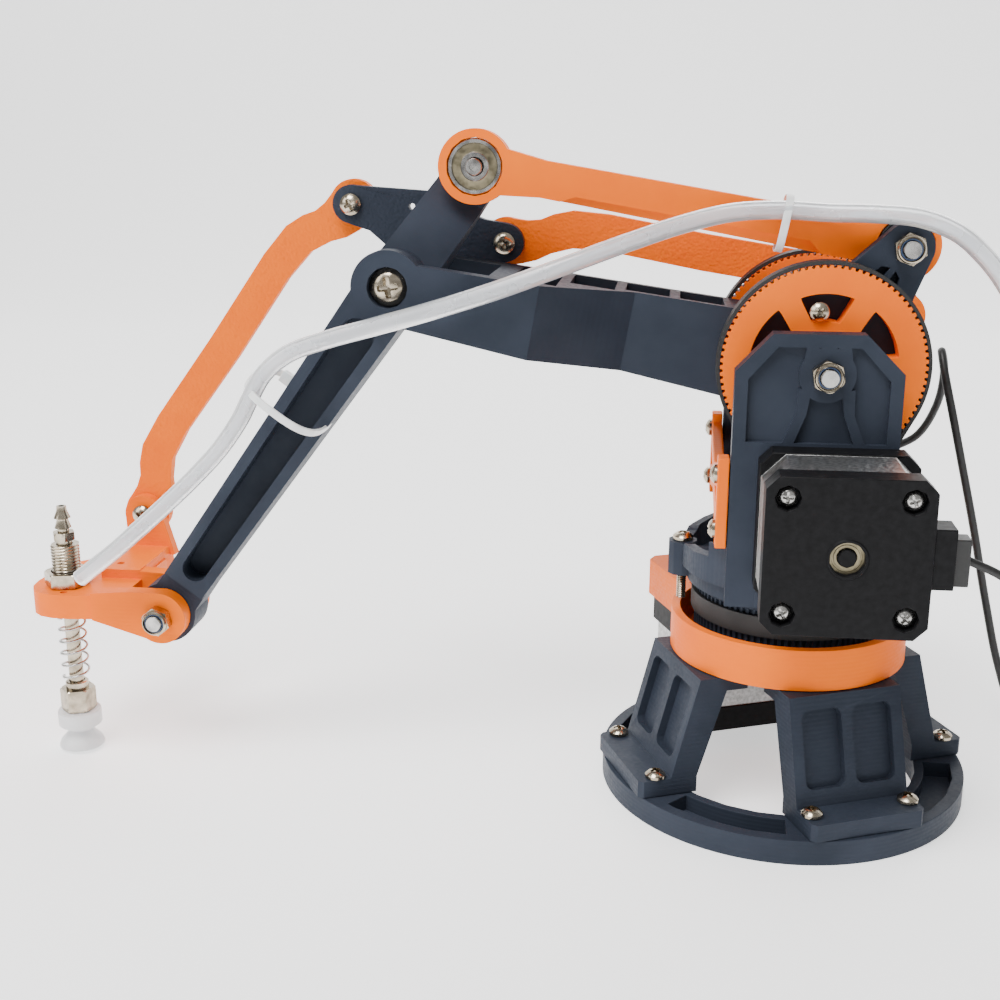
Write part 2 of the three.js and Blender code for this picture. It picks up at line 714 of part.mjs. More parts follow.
function forearm() {
  const reach = Math.hypot(foreArm.x, foreArm.z);
  const upper = 39.05;
  const endFront = rearLinkFront + rearLinkThickness + 0.7;
  let body = join(
    barY(elbow, 9.8, forearmFront, forearmBack, 48),
    prism(
      forearmSection(0, 8.6, 8.6, forearmFront, forearmBack, linkA),
      forearmSection(upper - 9.6, 8, 8, endFront - 0.01, forearmBack, linkA)),
    prism(
      forearmSection(upper - 10, 8, 8, endFront, forearmBack, linkA),
      forearmSection(upper, 8, 8, endFront, forearmBack, linkA)),
    barY(linkA, 8, endFront, forearmBack, 40),
    prism(
      forearmSection(0, 9, 9, forearmFront, 2, wrist),
      forearmSection(reach - 12, 7, 7, -16.6, wristHubBack, wrist)),
    barY(wrist, 9.6, wristHubFront, wristHubBack, 48),
    prism(
      forearmSection(reach - 16, 7, 7, wristHubFront, wristHubBack, wrist),
      forearmSection(reach - 2, 7.4, 7.4, wristHubFront, wristHubBack, wrist)),
  );
  // a long recess in the front and the back of the lower part
  const web = 3;
  const recess = (front, back) => {
    const start = along(elbow, wrist, 18, 0);
    const end = along(elbow, wrist, reach - 19, 0);
    return slab(capsule({ x: start[0], z: start[1] }, { x: end[0], z: end[1] }, 5.2, 3.9), front, back, 10);
  };
  body = body.subtract(recess(-30, -7.5 - web / 2));
  body = body.subtract(recess(-7.5 + web / 2, 20));
  // room for the tool holder's ear to swing in front of the wrist hub
  const swing = barY(wrist, 10.6, -30, wristHubFront, 48);
  return cut(body, swing,
    barY(elbow, m5.bore, -60, 60, 24),
    barY(linkA, m5.shank + 0.05, -60, 60, 24),
    barY(wrist, bearing.outer + 0.3, wristHubFront - 1, wristHubFront + 5.3, 40),
    barY(wrist, m5.bore, -60, 60, 24));
}

// ---- rear link ------------------------------------------------------------------
function rearLink() {
  const back = rearLinkFront + rearLinkThickness;
  const eye = 10.6;
  const eyeB = 9.8;
  const waist = 5.2;
  const reach = Math.hypot(upperArm.x, upperArm.z);
  const beam = outline([
    along(linkA, linkB, 0, -eye * 0.75), along(linkA, linkB, 9, -eye * 0.62), along(linkA, linkB, 20, -waist),
    along(linkA, linkB, reach - 22, -waist - 1), along(linkA, linkB, reach - 10, -eyeB * 0.62),
    along(linkA, linkB, reach, -eyeB * 0.75), along(linkA, linkB, reach, eyeB * 0.75),
    along(linkA, linkB, reach - 10, eyeB * 0.6), along(linkA, linkB, reach - 22, waist + 0.4),
    along(linkA, linkB, 20, waist), along(linkA, linkB, 9, eye * 0.6), along(linkA, linkB, 0, eye * 0.75),
  ]);
  let body = join(
    slab(beam, rearLinkFront + 0.01, back - 0.01),
    barY(linkA, eye, rearLinkFront, back, 56),
    barY(linkB, eyeB, rearLinkFront, back, 48),
  );
  // a step along the lower edge leaves a raised web above a thin flange
  const step = outline([
    along(linkA, linkB, 20, -waist - 3), along(linkA, linkB, reach - 20, -waist - 3),
    along(linkA, linkB, reach - 26, -waist + 2), along(linkA, linkB, 30, -waist + 2),
  ]);
  body = body.subtract(slab(step, rearLinkFront - 1, rearLinkFront + 2));
  return cut(body,
    barY(linkA, bearing.outer + 0.25, rearLinkFront - 1, back + 1, 48),
    barY(linkB, bearing.outer + 0.25, rearLinkFront - 1, back + 1, 48));
}

// ---- levelling plate and links -----------------------------------------------------
function levelPlate() {
  const back = levelPlateFront + levelPlateThickness;
  const eye = 5.9;
  const spine = new THREE.Shape();
  spine.moveTo(levelT1.x - 1, levelT1.z + eye);
  spine.lineTo(elbow.x + 9, elbow.z + 24);
  spine.quadraticCurveTo(elbow.x + 13, elbow.z + 16, levelT2.x + 1, levelT2.z + eye);
  spine.lineTo(levelT2.x + 1, levelT2.z - eye);
  spine.quadraticCurveTo(elbow.x + 12, elbow.z + 2, elbow.x + 7, elbow.z - 6);
  spine.lineTo(elbow.x - 7, elbow.z - 6);
  spine.quadraticCurveTo(elbow.x - 7, elbow.z + 12, levelT1.x - 1, levelT1.z - eye);
  spine.closePath();
  return cut(
    join(
      slab(spine, levelPlateFront, back, 10),
      barY(levelT1, eye, levelPlateFront, back, 32),
      barY(levelT2, eye, levelPlateFront, back, 32),
      barY(elbow, 8, armBack + 0.4, back, 40),
    ),
    barY({ x: elbow.x - 2, z: elbow.z + 19.6 }, 1.1, 0, 60, 16),
    barY(elbow, m5.bore, 0, 60, 24),
    barY(levelT1, m3.shank + gap, 0, 60, 16),
    barY(levelT2, m3.shank + gap, 0, 60, 16),
  );
}

// a flat link with round eyes and a body that bows to one side
function bentLink(a, b, bow, eye, waist) {
  const reach = Math.hypot(b.x - a.x, b.z - a.z);
  const back = levelLinkFront + levelLinkThickness;
  const at = (d, s) => new THREE.Vector2(...along(a, b, d, s));
  const upperEdge = [at(0, eye), at(8, eye * 0.8 + bow * 0.25), at(22, bow + waist), at(reach / 2, bow + waist),
    at(reach - 22, bow + waist), at(reach - 8, eye * 0.8 + bow * 0.25), at(reach, eye)];
  const lowerEdge = [at(reach, -eye), at(reach - 9, -eye * 0.6), at(reach - 24, bow - waist),
    at(reach / 2, bow - waist), at(24, bow - waist), at(9, -eye * 0.6), at(0, -eye)];
  const shape = new THREE.Shape();
  const upper = new THREE.SplineCurve(upperEdge).getPoints(16);
  const lower = new THREE.SplineCurve(lowerEdge).getPoints(16);
  shape.setFromPoints([...upper, ...lower]);
  return cut(
    join(
      slab(shape, levelLinkFront, back),
      barY(a, eye, levelLinkFront, back, 40),
      barY(b, eye, levelLinkFront, back, 40),
    ),
    barY(a, m3.shank + gap, 0, 60, 16),
    barY(b, m3.shank + gap, 0, 60, 16),
  );
}

// ---- tool holder and suction tool -----------------------------------------------------
const toolX = -226.6;
const toolY = -9.5;
const plateTop = wrist.z + 6.2;
const plateBottom = wrist.z - 1.6;
const cupFoot = 1.2;

function toolHolder() {
  const earBack = wristHubFront - 0.5;
  const earFrontY = earBack - 5;
  const tabFront = levelLinkFront - 3.6 - gap;
  const nose = new THREE.Shape();
  nose.moveTo(toolX + 24, -18);
  nose.lineTo(toolX + 24, 20);
  nose.lineTo(toolX + 3, 20);
  nose.quadraticCurveTo(toolX - 11, 16, toolX - 11, toolY + 2);
  nose.quadraticCurveTo(toolX - 11, -21, toolX + 4, -20);
  nose.closePath();
  let body = tile(nose, plateBottom, plateTop, 16);
  body = body.subtract(box(wrist.x - 12.5, wrist.x + 40, wristHubFront - 0.5, 40, 0, 90));
  const ear = join(
    barY(wrist, 8.2, earFrontY, earBack, 40),
    slab(outline([
      [wrist.x - 22, plateBottom], [wrist.x, wrist.z - 8.2], [wrist.x, wrist.z + 8.2],
      [wrist.x - 10, wrist.z + 8.2], [wrist.x - 22, plateTop + 1],
    ]), earFrontY, earBack),
  );
  const farEarFront = wristHubBack + 0.5;
  const farEar = join(
    barY(wrist, 8.2, farEarFront, farEarFront + 5, 40),
    slab(outline([
      [wrist.x - 20, plateBottom], [wrist.x, wrist.z - 8.2], [wrist.x, wrist.z + 8.2],
      [wrist.x - 20, plateTop + 3],
    ]), farEarFront, farEarFront + 5),
  );
  // the arm that reaches back and up to the front levelling link
  const reachBack = box(wrist.x - 26, wrist.x - 13, farEarFront, tabFront + 3.6, plateBottom, plateTop + 3);
  const tab = join(
    barY(levelG, 6.4, tabFront, tabFront + 3.6, 32),
    slab(outline([
      [wrist.x - 27, plateTop], [wrist.x - 11, plateTop], [levelG.x + 6.4, levelG.z],
      [levelG.x - 6.4, levelG.z],
    ]), tabFront, tabFront + 3.6),
  );
  body = join(body, ear, farEar, reachBack, tab);
  return cut(body,
    barY(wrist, m5.bore, -60, 60, 24),
    barY(levelG, m3.shank + gap, -60, 60, 16),
    barZ(toolX, toolY, 4.6, 0, 100, 32),
    barZ(toolX + 2, toolY - 7.5, 1.2, 0, 100, 12),
    barZ(toolX + 12, toolY + 14, 1.3, 0, 100, 12));
}

function suctionBush() {
  const top = plateTop + 14.2;
  return cut(
    join(
      barZ(toolX, toolY, 4.2, plateBottom - 2, top, 32),
      barZ(toolX, toolY, 4.5, plateTop + 5.6, top - 1, 32),
    ),
    barZ(toolX, toolY, 2.6, 0, 120, 24));
}

function hexBand(radius, z0, z1, bore) {
  return cut(barZ(toolX, toolY, radius, z0, z1, 6), barZ(toolX, toolY, bore, z0 - 1, z1 + 1, 28));
}

const couplerTop = 21.5;
const couplerFoot = 13.4;

function suctionRod() {
  const rodTop = plateTop + 15;
  return join(
    barZ(toolX, toolY, 2.3, couplerTop - 3, rodTop + 1, 24),
    barZ(toolX, toolY, 3.6, rodTop, rodTop + 2.6, 6),
    barZ(toolX, toolY, 1.7, rodTop + 2, rodTop + 11, 20),
    barZ(toolX, toolY, 2.5, rodTop + 4, rodTop + 6.6, 20, 1.7),
    barZ(toolX, toolY, 2.5, rodTop + 7.4, rodTop + 10, 20, 1.7),
  ).subtract(barZ(toolX, toolY, 0.9, rodTop + 3, rodTop + 20, 12));
}

function suctionSpring() {
  const top = plateBottom - 2.4;
  const foot = couplerTop + 3.2;
  const turns = 4.5;
  const points = [];
  const steps = 40;
  for (let i = 0; i <= steps; i += 1) {
    const t = i / steps;
    const turn = 2 * Math.PI * turns * t;
    points.push([toolX + 4 * Math.cos(turn), toolY + 4 * Math.sin(turn), foot + (top - foot) * t]);
  }
  return cord(points, 0.35, 5, 45);
}

function suctionCup() {
  return turned([
    [0, 5], [2.4, 5], [6.2, cupFoot], [7.2, cupFoot], [6.8, cupFoot + 1.8], [3.6, 6.4], [3.6, 8.2],
    [0, 8.2],
  ], toolX, toolY, 40);
}

// ---- hose ----------------------------------------------------------
const hoseRadius = 2.6;
// past the crank the hose stands still; the arm's own stretch ends before it
const hoseTip = [
  [-213, -29, 65.5], [-208, -29.5, 69.5], [-201, -30, 75], [-193, -30, 82], [-184, -29.5, 90],
  [-175, -29, 98.5], [-167, -28.5, 107], [-160.5, -28.3, 116],
];
const hoseSpan = [
  [-160.5, -28.3, 116], [-157.5, -28.5, 121.5], [-152.5, -29, 129.5], [-145, -29.8, 135.5], [-134, -30, 139.6],
  [-120, -30, 143.6], [-104, -30, 148.2], [-86, -29.4, 154], [-68, -25.5, 160.4], [-50, -19.5, 166.8],
  [-36, -13.6, 171.2], [-22, -8.8, 174.2], [-8, -7, 174.8], [4, -7.4, 174.2], [16, -10.8, 174.2], [28, -14.2, 173.2],
];
const hoseTail = [
  [43, -19, 164.6], [49, -22.5, 157], [55.5, -27, 144], [62, -32, 126], [68, -36.5, 105], [72, -39.5, 83],
  [75.5, -42, 60], [79.5, -43, 38], [84, -43, 20], [92, -42, 8.6], [101, -39, 2.9], [110, -35.2, 2.9],
];
const hoseCoil = { x: 122, y: 2, radius: 30, turns: 3, foot: 0.2, sides: 24 };

// the ring that stands for the hose wound flat on itself
function coilRing(coil, wire) {
  const inner = coil.radius - wire;
  const outer = coil.radius + wire;
  const top = 2 * wire * coil.turns;
  const profile = [[inner, coil.foot], [outer, coil.foot], [outer, top], [inner, top], [inner, coil.foot]];
  const geometry = new THREE.LatheGeometry(profile.map(([r, z]) => new THREE.Vector2(r, z)), coil.sides);
  geometry.rotateX(Math.PI / 2);
  geometry.translate(coil.x, coil.y, 0);
  return solid(geometry);
}

// ---- assembly -------------------------------------------------------------------------
add("base_ring", baseRing(), look.slate);
const legNames = ["leg_left", "leg_front", "leg_right"];
legNames.forEach((name, index) => {
  const holder = new THREE.Group();
  holder.rotation.z = rad(legHeading(index));
  arm.add(holder);
  add(name, leg(), look.slate, holder);
  footScrewPlaces(index).forEach(([x, y], side) => {
    const screw = add(`${name}_screw_${side + 1}`, footScrew(), look.nickel);
    screw.position.set(x, y, 0);
  });
});
add("base_housing", baseHousing(), look.orange);

const baseMotorHolder = new THREE.Group();
baseMotorHolder.position.set(baseMotorAt.x, baseMotorAt.y, legTop);
baseMotorHolder.rotation.z = rad(motorHeading);
arm.add(baseMotorHolder);
add("base_motor", motor(true), look.black, baseMotorHolder);
const pinionBottom = baseBeltBottom - legTop - 0.3;
add("base_motor_pulley", pinion(pinionBottom, pinionBottom + beltWidth + 0.6), look.steel, baseMotorHolder);
add("base_belt", baseBelt(), look.belt);

add("turntable_pulley", turntablePulley(), look.slate);
add("turntable_frame", turntableFrame(), look.slate);
add("far_side_plate", farPlate(), look.slate);
add("front_brace", frontBrace(), look.orange);
add("stop_screw", stopScrew(), look.nickel);

const farPlateBack = farPlateFront + plateThickness;
const driveNames = [
  { motor: "elbow_motor", pulley: "elbow_motor_pulley", belt: "elbow_belt", face: nearPlateFront - gap, turn: -90,
    wheelFront: elbowPulleyFront },
  { motor: "shoulder_motor", pulley: "shoulder_motor_pulley", belt: "shoulder_belt", face: farPlateBack + gap,
    turn: 90, wheelFront: shoulderPulleyFront },
];
driveNames.forEach((drive) => {
  const holder = new THREE.Group();
  holder.position.set(motorX, drive.face, motorZ);
  holder.rotation.x = rad(drive.turn);
  arm.add(holder);
  add(drive.motor, motor(true), look.black, holder);
  const beltFront = drive.wheelFront + (pulleyThickness - beltWidth) / 2;
  const nearer = Math.min(Math.abs(beltFront - drive.face), Math.abs(beltFront + beltWidth - drive.face));
  add(drive.pulley, pinion(nearer - 0.3, nearer + beltWidth + 0.3), look.steel, holder);
  const low = { x: motorX, z: motorZ };
  add(drive.belt, beltLoop(shoulder, low, pulleyRadius + gap, pinionRadius + gap, beltFront, beltFront + beltWidth),
    look.belt);
});

add("shoulder_axle_bolt", join(
  barY(shoulder, m5.shank, -34.6, 44, 24),
  barY(shoulder, m5.head * 0.8, farPlateBack + gap, 44, 24),
), look.steel);
add("shoulder_nut", nylockNut(shoulder, nearPlateFront - gap - m5.nutHeight), look.steel);

add("elbow_pulley", armPulley(elbowPulleyFront, nearPlateFront + plateThickness + gap), look.orange);
add("crank", crank(), look.slate);
add("crank_bolt", barY(linkB, m5.shank, crankFront - gap - m5.nutHeight - 0.8, 7, 24), look.steel);
add("crank_nut", nylockNut(linkB, crankFront - gap - m5.nutHeight), look.steel);

add("lower_arm", lowerArm(), look.slate);
add("shoulder_pulley", armPulley(shoulderPulleyFront, farPlateFront - gap), look.orange);
add("elbow_bolt", panBolt(elbow, earFront + 0.2, 31, m5.shank, m5.head, m5.headHeight), look.nickel);

add("rear_link", rearLink(), look.orange);
add("rear_link_bearing_a", ballBearing(linkA, rearLinkFront + 0.3), look.steel);
add("rear_link_bearing_b", ballBearing(linkB, rearLinkFront + 0.3), look.steel);

add("forearm", forearm(), look.slate);
add("forearm_link_bolt", cut(
  barY(linkA, m5.shank, rearLinkFront - 2, forearmBack + 2.2, 24),
  barY(linkA, 1.4, rearLinkFront - 3, rearLinkFront - 0.4, 6),
), look.steel);
add("wrist_bearing", ballBearing(wrist, wristHubFront + 0.05), look.steel);
const wristNutFront = wristHubFront - 5.5 - gap - m5.nutHeight;
add("wrist_bolt", barY(wrist, m5.shank, wristNutFront - 0.8, 6, 24), look.steel);
add("wrist_nut", nylockNut(wrist, wristNutFront), look.steel);

add("levelling_plate", levelPlate(), look.slate);
const levelHead = levelPlateFront - gap - 2.4;
const linkBack = levelLinkFront + levelLinkThickness;
add("levelling_screw_front", panBolt(levelT1, levelHead, linkBack + 1, m3.shank, 3.3, 2.4), look.nickel);
add("levelling_screw_rear", panBolt(levelT2, levelHead, linkBack + 1, m3.shank, 3.3, 2.4), look.nickel);
add("rear_levelling_link", bentLink(levelT2, levelF, 8, 7.6, 5.6), look.orange);
add("front_levelling_link", bentLink(levelG, levelT1, 9, 7.6, 5.4), look.orange);

add("tool_holder", toolHolder(), look.orange);
add("holder_screw", panBolt(levelG, levelLinkFront - 3.6 - 2 * gap - 2.6, linkBack + 1, m3.shank, 3.3, 2.4),
  look.nickel);
add("suction_bush", suctionBush(), look.nickel);
add("suction_bush_nut", hexBand(7.2, plateTop + gap, plateTop + 4.8, 4.9), look.nickel);
add("suction_rod", suctionRod(), look.nickel);
add("suction_spring", suctionSpring(), look.steel);
add("suction_coupler", join(
  hexBand(5.6, couplerFoot + 0.3, couplerTop - 0.4, 2.5),
  cut(barZ(toolX, toolY, 3.6, couplerTop - 0.5, couplerTop + 2, 24), barZ(toolX, toolY, 2.5, 0, 50, 28)),
), look.nickel);
add("suction_body", barZ(toolX, toolY, 6.9, 8.4, couplerFoot, 40), look.silicone);
add("suction_cup", suctionCup(), look.silicone);

add("hose_tip", cord(hoseTip, hoseRadius, 8, 9), look.silicone);
add("hose_span", cord(hoseSpan, hoseRadius, 8, 16), look.silicone);
add("hose_tail", cord(hoseTail, hoseRadius, 8, 20), look.silicone);
add("hose_coil", coilRing(hoseCoil, hoseRadius), look.silicone);

export default arm;
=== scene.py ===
# Looks of the desktop robot arm: camera, hose, detailed hardware and procedural materials.
import math
import bmesh
import bpy
from mathutils import Matrix, Vector


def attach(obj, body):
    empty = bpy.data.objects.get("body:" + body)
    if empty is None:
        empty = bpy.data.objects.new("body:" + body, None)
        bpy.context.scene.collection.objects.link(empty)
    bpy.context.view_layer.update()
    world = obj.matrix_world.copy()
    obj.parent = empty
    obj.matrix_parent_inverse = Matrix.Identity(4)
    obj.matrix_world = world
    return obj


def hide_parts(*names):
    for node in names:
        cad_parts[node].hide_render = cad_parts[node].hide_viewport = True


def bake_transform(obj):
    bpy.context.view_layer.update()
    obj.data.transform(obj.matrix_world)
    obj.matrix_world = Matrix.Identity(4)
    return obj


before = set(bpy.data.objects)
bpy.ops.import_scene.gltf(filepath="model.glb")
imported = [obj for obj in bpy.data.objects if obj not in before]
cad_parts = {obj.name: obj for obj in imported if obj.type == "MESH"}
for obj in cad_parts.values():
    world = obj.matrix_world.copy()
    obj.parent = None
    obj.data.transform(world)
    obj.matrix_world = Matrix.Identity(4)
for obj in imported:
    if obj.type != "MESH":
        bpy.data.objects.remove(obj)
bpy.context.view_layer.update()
MM = 0.001
TAU = 2 * math.pi

# ---- the row frame: millimetres from the turntable axis to metres from the row origin ----
ROW_X, ROW_Y = -90.5, 5.0


def P(x, y, z):
    return Vector(((x - ROW_X) * MM, (y - ROW_Y) * MM, z * MM))


SHOULDER = (4.0, 132.5)
ELBOW = (SHOULDER[0] - 121.4, SHOULDER[1] + 21.2)
WRIST = (ELBOW[0] - 75.3, ELBOW[1] - 103.5)
LINK_A = (ELBOW[0] + 21.8, ELBOW[1] + 32.4)
LINK_B = (SHOULDER[0] + 21.8, SHOULDER[1] + 32.4)
LEVEL_1 = (ELBOW[0] - 21.3, ELBOW[1] + 20.2)
LEVEL_2 = (ELBOW[0] + 27.0, ELBOW[1] + 8.8)
LEVEL_F = (SHOULDER[0] + 27.0, SHOULDER[1] + 8.8)
LEVEL_G = (WRIST[0] - 21.3, WRIST[1] + 20.2)
MOTOR = (7.9, 91.6)
LEG_ANGLE = -66.9
TOOL = (-226.6, -9.5)
BASE_REACH = 37
BASE_FACE = 43.0
BASE_HEADING = math.radians(LEG_ANGLE + 180)
PLATE_TOP = WRIST[1] + 6.2
PLATE_BOTTOM = WRIST[1] - 1.6

# ---- camera ----------------------------------------------------------------
cam_data = bpy.data.cameras.new("camera")
cam_data.sensor_width = 36.0
cam_data.lens = 47.76
camera = bpy.data.objects.new("camera", cam_data)
camera.location = P(-38.5, -390.0, 195.9)
camera.rotation_euler = (math.radians(90 - 15.54), 0, math.radians(7.33))
bpy.context.collection.objects.link(camera)
bpy.context.scene.camera = camera


# ---- materials -------------------------------------------------------------
LAYER_WAVES = 1000 / 0.2 / 20  # one wave for each 0.2 mm layer


def new_material(name, colour, rough, metal=0.0, **sockets):
    mat = bpy.data.materials.new(name)
    mat.use_nodes = True
    bsdf = mat.node_tree.nodes["Principled BSDF"]
    bsdf.inputs["Base Color"].default_value = (*colour, 1)
    bsdf.inputs["Roughness"].default_value = rough
    bsdf.inputs["Metallic"].default_value = metal
    for key, value in sockets.items():
        bsdf.inputs[key.replace("_", " ")].default_value = value
    return mat, mat.node_tree, bsdf


def coordinates(tree, scale):
    tex = tree.nodes.new("ShaderNodeTexCoord")
    mapping = tree.nodes.new("ShaderNodeMapping")
    mapping.inputs["Scale"].default_value = scale
    tree.links.new(tex.outputs["Object"], mapping.inputs["Vector"])
    return mapping.outputs["Vector"]


def noise(tree, vector, scale, detail=3.0, rough=0.5):
    node = tree.nodes.new("ShaderNodeTexNoise")
    node.inputs["Scale"].default_value = scale
    node.inputs["Detail"].default_value = detail
    node.inputs["Roughness"].default_value = rough
    tree.links.new(vector, node.inputs["Vector"])
    return node.outputs["Fac"]


def remap(tree, value, low, high, to_low, to_high):
    node = tree.nodes.new("ShaderNodeMapRange")
    limits = (("From Min", low), ("From Max", high), ("To Min", to_low), ("To Max", to_high))
    for key, number in limits:
        node.inputs[key].default_value = number
    tree.links.new(value, node.inputs["Value"])
    return node.outputs["Result"]


def mixed_colour(tree, factor, dark, light):
    node = tree.nodes.new("ShaderNodeMix")
    node.data_type = "RGBA"
    node.inputs[6].default_value = (*dark, 1)
    node.inputs[7].default_value = (*light, 1)
    tree.links.new(factor, node.inputs[0])
    return node.outputs[2]


def bump(tree, bsdf, height, distance, strength=1.0, after=None):
    node = tree.nodes.new("ShaderNodeBump")
    node.inputs["Distance"].default_value = distance
    node.inputs["Strength"].default_value = strength
    tree.links.new(height, node.inputs["Height"])
    if after is not None:
        tree.links.new(after, node.inputs["Normal"])
    tree.links.new(node.outputs["Normal"], bsdf.inputs["Normal"])
    return node.outputs["Normal"]


def printed(name, dark, light, rough, direction="Z", pebbled=False):
    """3-D printed plastic: fine layer lines along one direction, or the pebbled print of a textured plate."""
    mat, tree, bsdf = new_material(name, light, rough, Specular_IOR_Level=0.09)
    vector = coordinates(tree, (1, 1, 1))
    cloud = noise(tree, vector, 45, 4)
    fine = noise(tree, vector, 900, 3)
    shade = remap(tree, cloud, 0.3, 0.7, 0.0, 1.0)
    tree.links.new(mixed_colour(tree, shade, dark, light), bsdf.inputs["Base Color"])
    low_rough = remap(tree, fine, 0.3, 0.7, rough - 0.07, rough + 0.1)
    tree.links.new(low_rough, bsdf.inputs["Roughness"])
    if pebbled:
        cell = tree.nodes.new("ShaderNodeTexVoronoi")
        cell.feature = "SMOOTH_F1"
        cell.inputs["Scale"].default_value = 1150
        cell.inputs["Randomness"].default_value = 1
        tree.links.new(vector, cell.inputs["Vector"])
        first = bump(tree, bsdf, cell.outputs["Distance"], 0.00022, 0.9)
        bump(tree, bsdf, noise(tree, vector, 700, 3), 0.00012, 0.7, first)
        return mat
    wave = tree.nodes.new("ShaderNodeTexWave")
    wave.bands_direction = direction
    wave.inputs["Scale"].default_value = LAYER_WAVES
    wave.inputs["Distortion"].default_value = 0.4
    wave.inputs["Detail"].default_value = 1
    wave.inputs["Detail Scale"].default_value = 0.3
    tree.links.new(vector, wave.inputs["Vector"])
    first = bump(tree, bsdf, wave.outputs["Fac"], 0.00004, 0.55)
    bump(tree, bsdf, fine, 0.00003, 0.5, first)
    return mat


def metal(name, dark, light, rough, scale=260, stretch=(1, 1, 1)):
    mat, tree, bsdf = new_material(name, light, rough, 1.0)
    vector = coordinates(tree, stretch)
    grain = noise(tree, vector, scale, 5)
    tree.links.new(mixed_colour(tree, remap(tree, grain, 0.35, 0.65, 0, 1), dark, light), bsdf.inputs["Base Color"])
    tree.links.new(remap(tree, grain, 0.3, 0.7, rough - 0.06, rough + 0.12), bsdf.inputs["Roughness"])
    bump(tree, bsdf, noise(tree, vector, scale * 6, 3), 0.00002, 0.4)
    return mat


def speckled(name, dark, light, rough, scale, depth, metallic=0.0, **sockets):
    mat, tree, bsdf = new_material(name, light, rough, metallic, **sockets)
    vector = coordinates(tree, (1, 1, 1))
    grain = noise(tree, vector, scale, 4)
    tree.links.new(mixed_colour(tree, remap(tree, grain, 0.3, 0.7, 0, 1), dark, light), bsdf.inputs["Base Color"])
    tree.links.new(remap(tree, grain, 0.3, 0.7, rough - 0.05, rough + 0.1), bsdf.inputs["Roughness"])
    bump(tree, bsdf, noise(tree, vector, scale * 4, 2), depth, 0.5)
    return mat


ORANGE = ((0.92, 0.15, 0.0), (1.0, 0.185, 0.0))
SLATE = ((0.024, 0.03, 0.043), (0.036, 0.044, 0.062))
MATS = {
    "orange_z": printed("orange_layers_z", *ORANGE, 0.42, "Z"),
    "orange_y": printed("orange_layers_y", *ORANGE, 0.42, "Y"),
    "orange_pebbled": printed("orange_pebbled", *ORANGE, 0.48, pebbled=True),
    "slate_z": printed("slate_layers_z", *SLATE, 0.46, "Z"),
    "slate_y": printed("slate_layers_y", *SLATE, 0.46, "Y"),
    "slate_pebbled": printed("slate_pebbled", *SLATE, 0.42, pebbled=True),
    "motor_black": speckled("motor_black", (0.006, 0.006, 0.0065), (0.011, 0.011, 0.012), 0.36, 500, 0.00002,
                            Specular_IOR_Level=0.08),
    "lamination": metal("lamination", (0.35, 0.35, 0.34), (0.6, 0.6, 0.59), 0.36, 900, (1, 1, 1)),
    "belt": speckled("belt_rubber", (0.008, 0.008, 0.008), (0.018, 0.018, 0.018), 0.62, 1500, 0.00003),
    "steel": metal("bright_steel", (0.3, 0.295, 0.285), (0.56, 0.55, 0.53), 0.2),
    "nickel": metal("warm_nickel", (0.3, 0.255, 0.19), (0.56, 0.49, 0.38), 0.18),
    "nylon_blue": speckled("nylon_insert", (0.03, 0.06, 0.13), (0.05, 0.09, 0.2), 0.4, 400, 0.00001),
    "silicone": speckled("clear_silicone", (0.8, 0.82, 0.85), (0.93, 0.94, 0.96), 0.25, 60, 0.00002,
                         Transmission_Weight=0.62, IOR=1.41),
    "cup": speckled("milky_silicone", (0.86, 0.87, 0.88), (0.96, 0.96, 0.96), 0.35, 200, 0.00002,
                    Transmission_Weight=0.35, IOR=1.41),
    "nylon": speckled("white_nylon", (0.8, 0.8, 0.79), (0.93, 0.93, 0.92), 0.38, 300, 0.00002,
                      Subsurface_Weight=0.1),
    "cable": speckled("cable_jacket", (0.006, 0.006, 0.006), (0.015, 0.015, 0.015), 0.45, 700, 0.00002),
    "shield": metal("bearing_shield", (0.16, 0.14, 0.09), (0.3, 0.26, 0.17), 0.34, 500),
}


# ---- mesh helpers ------------------------------------------------------------
def finish_object(name, bm, material, body, stands_for=(), smooth_angle=35.0, bevel=0.0):
    bmesh.ops.remove_doubles(bm, verts=bm.verts, dist=1e-7)
    bmesh.ops.recalc_face_normals(bm, faces=bm.faces)
    mesh = bpy.data.meshes.new(name)
    bm.to_mesh(mesh)
    bm.free()
    obj = bpy.data.objects.new(name, mesh)
    bpy.context.collection.objects.link(obj)
    materials = material if isinstance(material, (list, tuple)) else [material]
    for key in materials:
        mesh.materials.append(MATS[key])
    if bevel:
        modifier = obj.modifiers.new("edge", "BEVEL")
        modifier.width = bevel
        modifier.segments = 2
        modifier.limit_method = "ANGLE"
        modifier.angle_limit = math.radians(32)
        modifier.use_clamp_overlap = True
    mesh.shade_smooth()
    mesh.set_sharp_from_angle(angle=math.radians(smooth_angle))
    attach(obj, body)
    if stands_for:
        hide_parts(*stands_for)
    return obj


def frame_of(axis):
    """A rotation whose local Z is the given axis."""
    return Vector(axis).to_track_quat("Z", "Y").to_matrix().to_4x4()


def circle(bm, radius, height, count):
    """A ring of points round local Z."""
    angles = [TAU * i / count for i in range(count)]
    return [bm.verts.new((radius * math.cos(a), radius * math.sin(a), height)) for a in angles]


